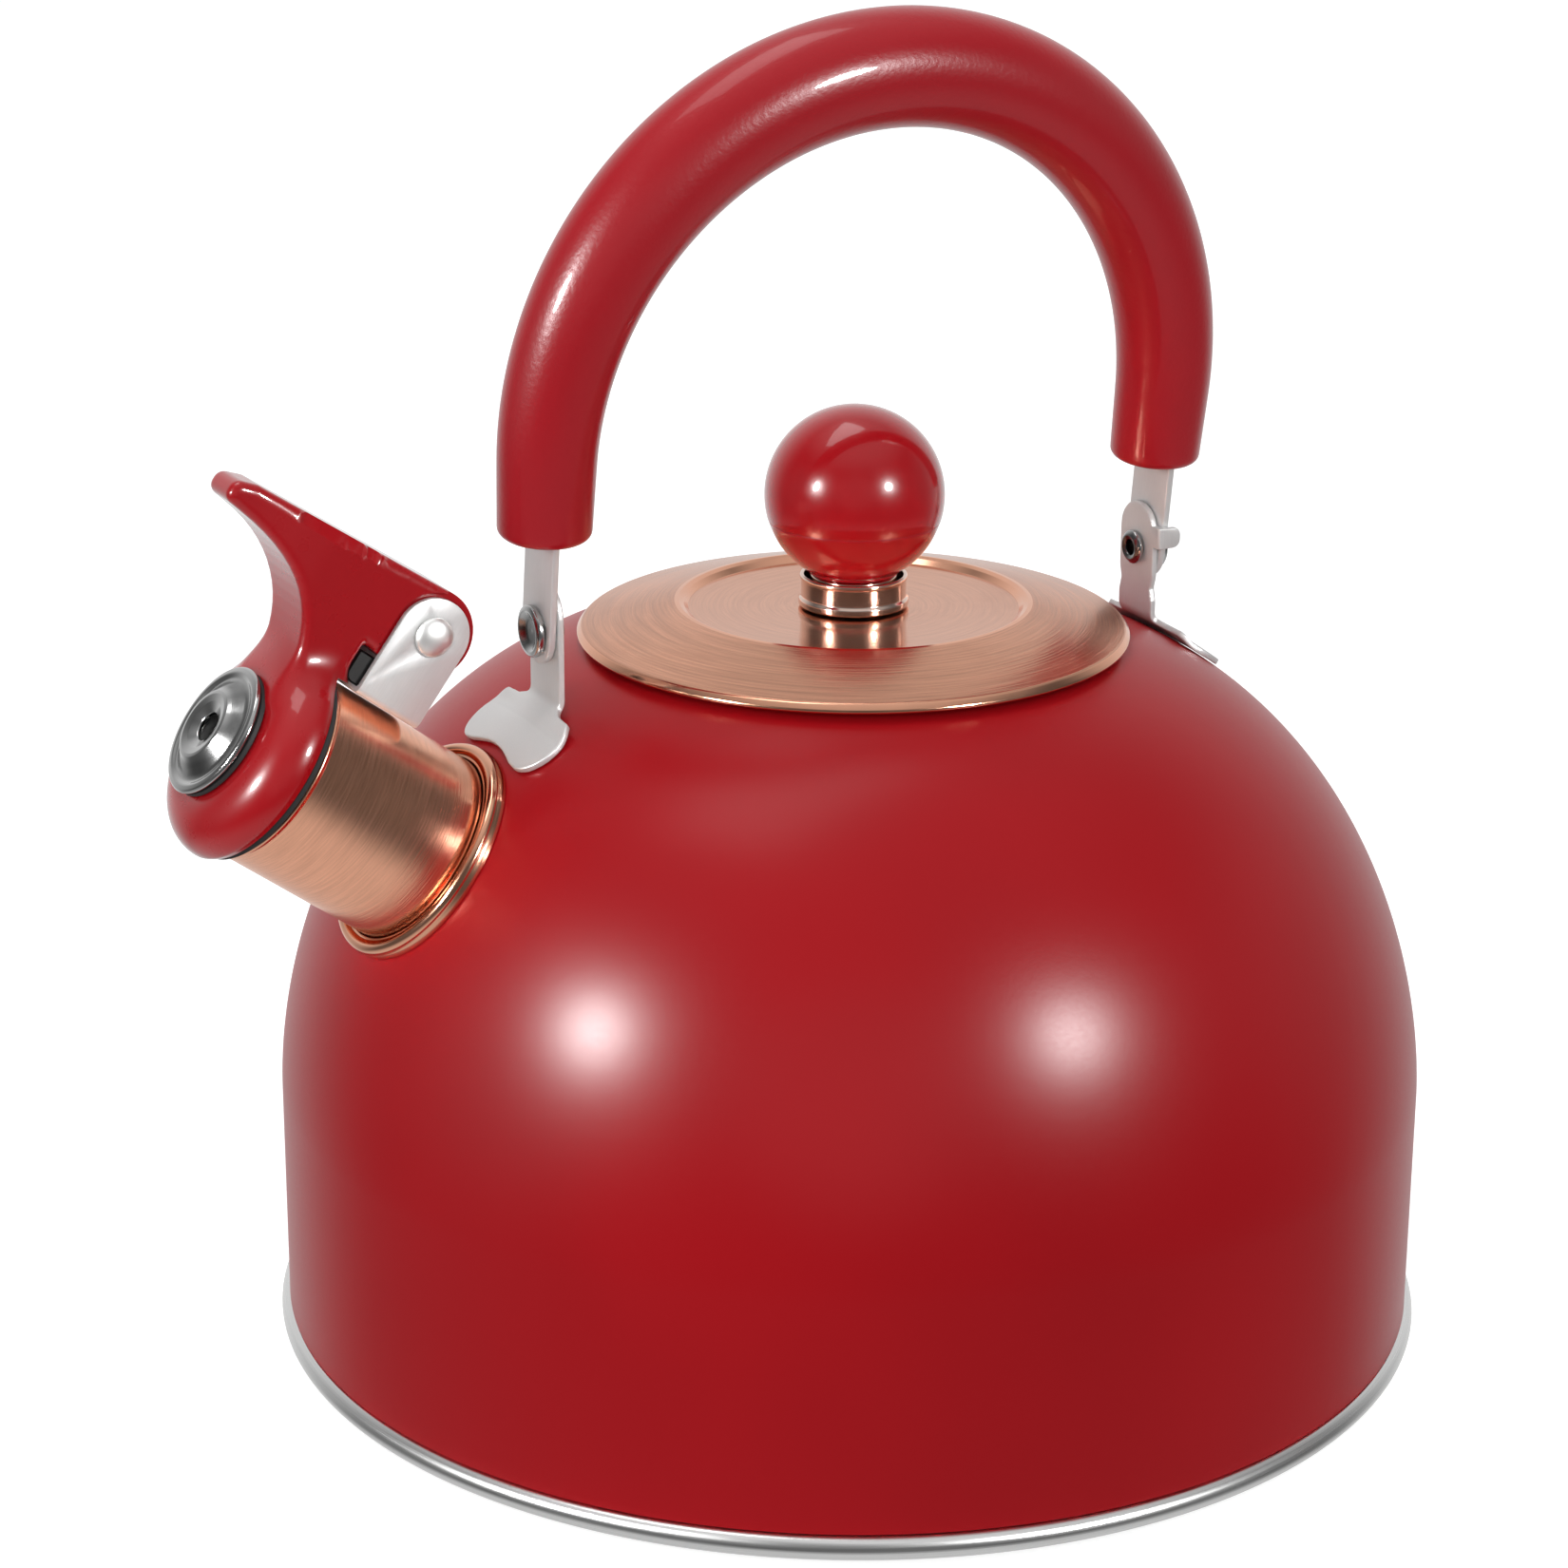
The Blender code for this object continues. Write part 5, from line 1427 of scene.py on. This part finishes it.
    def add_stop(self, piece):
        """The tab that folds out round the arm's edge and stops the handle."""
        low_z, high_z = 0.1331, 0.1368
        face = 0.0064
        far = face + 0.0010
        reach = 0.0614
        tab = [(self.inner, low_z, 0.0003), (reach, low_z, 0.0014)]
        tab += [(reach, high_z, 0.0014), (self.inner, high_z, 0.0003)]
        root = [(self.inner, low_z), (self.outer, low_z), (self.outer, high_z), (self.inner, high_z)]
        for name, outline, near in (("stop_tab", softened(tab, 0.0, 5), face), ("stop_root", root, 0.0043)):
            mesh = prism(name, outline, 0.5 * (far - near), 0.0002, 2)
            cut(piece, mesh, Matrix.Translation((0.0, -0.5 * (far + near), 0.0)), "UNION")
        piece.data.shade_smooth()
        piece.data.set_sharp_from_angle(angle=math.radians(50))

    def build_rivet(self, name, node, side):
        head = 0.0599
        tail = self.inner - 0.0003
        radius = high(node).z - PIVOT.z
        profile = [
            (0.0, head + 0.0003),
            (0.0020, head + 0.0004, 0.0015),
            (radius - 0.0009, head + 0.0013, 0.0005),
            (radius, head + 0.0010, 0.0005),
            (radius, head, 0.0001),
            (0.0019, head),
            (0.0019, tail),
            (0.0029, tail, 0.0002),
            (0.0031, tail - 0.0007, 0.0005),
            (0.0022, tail - 0.0014, 0.0005),
            (0.0014, tail - 0.0011, 0.0003),
            (0.0013, tail + 0.0006),
            (0.0, tail + 0.0006),
        ]
        outline = raised(softened(profile, 0.0, 4, closed=False), 0.0)
        place = Matrix.Translation(PIVOT) @ Matrix.Rotation(math.radians(90) * side, 4, "Y")
        add_turned(name, outline, "rivet_steel", BODY, node, place, 96)


class KETTLE_OT_stage(PieceOperator, Operator):
    """Pale floor, studio light and the camera"""

    bl_idname = "kettle.stage"
    bl_label = "Stage"
    lamp_distance = 0.95
    lamp_size = 0.15
    fill_distance = 1.6
    fill_size = 1.4
    camera_place = Vector((-0.32221, -0.58800, 0.32343))

    def build(self):
        stage = bpy.context.scene.kettle_stage
        bpy.context.scene.view_settings.view_transform = "Standard"
        self.build_floor(stage)
        self.build_sky(stage)
        gleams = (
            ("left_lamp", (-0.930, -0.138, 0.341), 1.0),
            ("right_lamp", (0.2816, -0.8825, 0.3777), 0.72),
        )
        for name, direction, share in gleams:
            lamp = self.add_lamp(name, direction, self.lamp_distance, self.lamp_size, share * stage.lamps)
            lamp.visible_diffuse = False
        fills = (
            ("front_fill", (-0.42, -0.80, 0.30), 1.0),
            ("left_fill", (-0.95, 0.25, 0.15), 0.60),
            ("right_fill", (0.95, -0.10, 0.15), 0.60),
        )
        for name, direction, share in fills:
            fill = self.add_lamp(name, direction, self.fill_distance, self.fill_size, share * stage.fill)
            fill.visible_glossy = False
        self.add_lamp("overhead_softbox", (-0.10, 0.20, 1.0), 1.2, 0.80, stage.softbox, 0.45)
        self.build_camera(stage)

    def build_floor(self, stage):
        bm = bmesh.new()
        bmesh.ops.create_circle(bm, cap_ends=True, segments=96, radius=9.0)
        floor = bpy.data.objects.new("floor", shell_of(bm, "floor"))
        bpy.context.scene.collection.objects.link(floor)
        floor.visible_glossy = False
        floor.visible_diffuse = False
        finish = Finish(
            "floor_white",
            Base_Color=(*stage.floor, 1.0),
            Roughness=0.75,
            Specular_IOR_Level=0.2,
            Emission_Color=(1.0, 1.0, 1.0, 1.0),
            Emission_Strength=stage.floor_glow,
        )
        floor.data.materials.append(finish.material)

    def build_sky(self, stage):
        """A studio that is bright behind, above and below the kettle and dim on its front side."""
        world = bpy.data.worlds.new("studio")
        bpy.context.scene.world = world
        world.use_nodes = True
        sky = Sky(world)
        x, y, z = sky.place()
        behind = x * 0.465 + y * 0.885
        back = behind.step(0.15, 0.85) * stage.sky_back
        above = z.step(0.55, 0.95) * stage.sky_above
        below = (0.0 - z).step(0.25, 0.75) * stage.sky_below
        brightest = back.math("MAXIMUM", above).math("MAXIMUM", below)
        background = world.node_tree.nodes["Background"]
        strength = brightest + stage.sky_front
        sky.tree.links.new(strength.socket, background.inputs["Strength"])
        background.inputs["Color"].default_value = (1.0, 1.0, 1.0, 1.0)

    def add_lamp(self, name, direction, distance, size, power, size_y=None):
        light = bpy.data.lights.new(name, "AREA")
        light.shape = "RECTANGLE" if size_y else "DISK"
        light.size = size
        if size_y:
            light.size_y = size_y
        light.energy = power
        lamp = bpy.data.objects.new(name, light)
        away = Vector(direction).normalized()
        lamp.location = Vector((0.0, 0.0, 0.10)) + distance * away
        lamp.rotation_euler = away.to_track_quat("Z", "Y").to_euler()
        bpy.context.scene.collection.objects.link(lamp)
        return lamp

    def build_camera(self, stage):
        data = bpy.data.cameras.new("camera")
        data.lens = stage.focal
        data.sensor_width = 36.0
        camera = bpy.data.objects.new("camera", data)
        azimuth, tilt, roll = math.radians(-27.720), math.radians(18.729), math.radians(0.305)
        across = Vector((math.cos(azimuth), math.sin(azimuth), 0.0))
        level = Vector((-math.sin(azimuth), math.cos(azimuth), 0.0))
        ahead = math.cos(tilt) * level - math.sin(tilt) * Vector((0.0, 0.0, 1.0))
        up = across.cross(ahead)
        x = math.cos(roll) * across + math.sin(roll) * up
        y = math.cos(roll) * up - math.sin(roll) * across
        turn = Matrix((x, y, -ahead)).transposed()
        camera.matrix_world = Matrix.Translation(self.camera_place) @ turn.to_4x4()
        bpy.context.scene.collection.objects.link(camera)
        bpy.context.scene.camera = camera


class KETTLE_PT_pieces(Panel):
    """Lists the kettle's pieces in the sidebar"""

    bl_idname = "KETTLE_PT_pieces"
    bl_label = "Kettle"
    bl_space_type = "VIEW_3D"
    bl_region_type = "UI"
    bl_category = "Kettle"

    def draw(self, context):
        for operator in BUILDERS:
            self.layout.operator(operator.bl_idname)


BUILDERS = (
    KETTLE_OT_body,
    KETTLE_OT_base,
    KETTLE_OT_spout,
    KETTLE_OT_hinge,
    KETTLE_OT_whistle,
    KETTLE_OT_lid,
    KETTLE_OT_knob,
    KETTLE_OT_handle,
    KETTLE_OT_brackets,
    KETTLE_OT_stage,
)
SETTINGS = (
    ("kettle_sizes", KettleSizes),
    ("kettle_finishes", KettleFinishes),
    ("kettle_stage", KettleStage),
)


def register():
    for name, group in SETTINGS:
        bpy.utils.register_class(group)
        setattr(bpy.types.Scene, name, PointerProperty(type=group))
    for made in (*BUILDERS, KETTLE_PT_pieces):
        bpy.utils.register_class(made)


def unregister():
    for made in (KETTLE_PT_pieces, *reversed(BUILDERS)):
        bpy.utils.unregister_class(made)
    for name, group in reversed(SETTINGS):
        delattr(bpy.types.Scene, name)
        bpy.utils.unregister_class(group)


def main():
    register()
    bpy.ops.kettle.body()
    bpy.ops.kettle.base()
    bpy.ops.kettle.spout()
    bpy.ops.kettle.hinge()
    bpy.ops.kettle.whistle()
    bpy.ops.kettle.lid()
    bpy.ops.kettle.knob()
    bpy.ops.kettle.handle()
    bpy.ops.kettle.brackets()
    bpy.ops.kettle.stage()


if __name__ == "__main__":
    main()
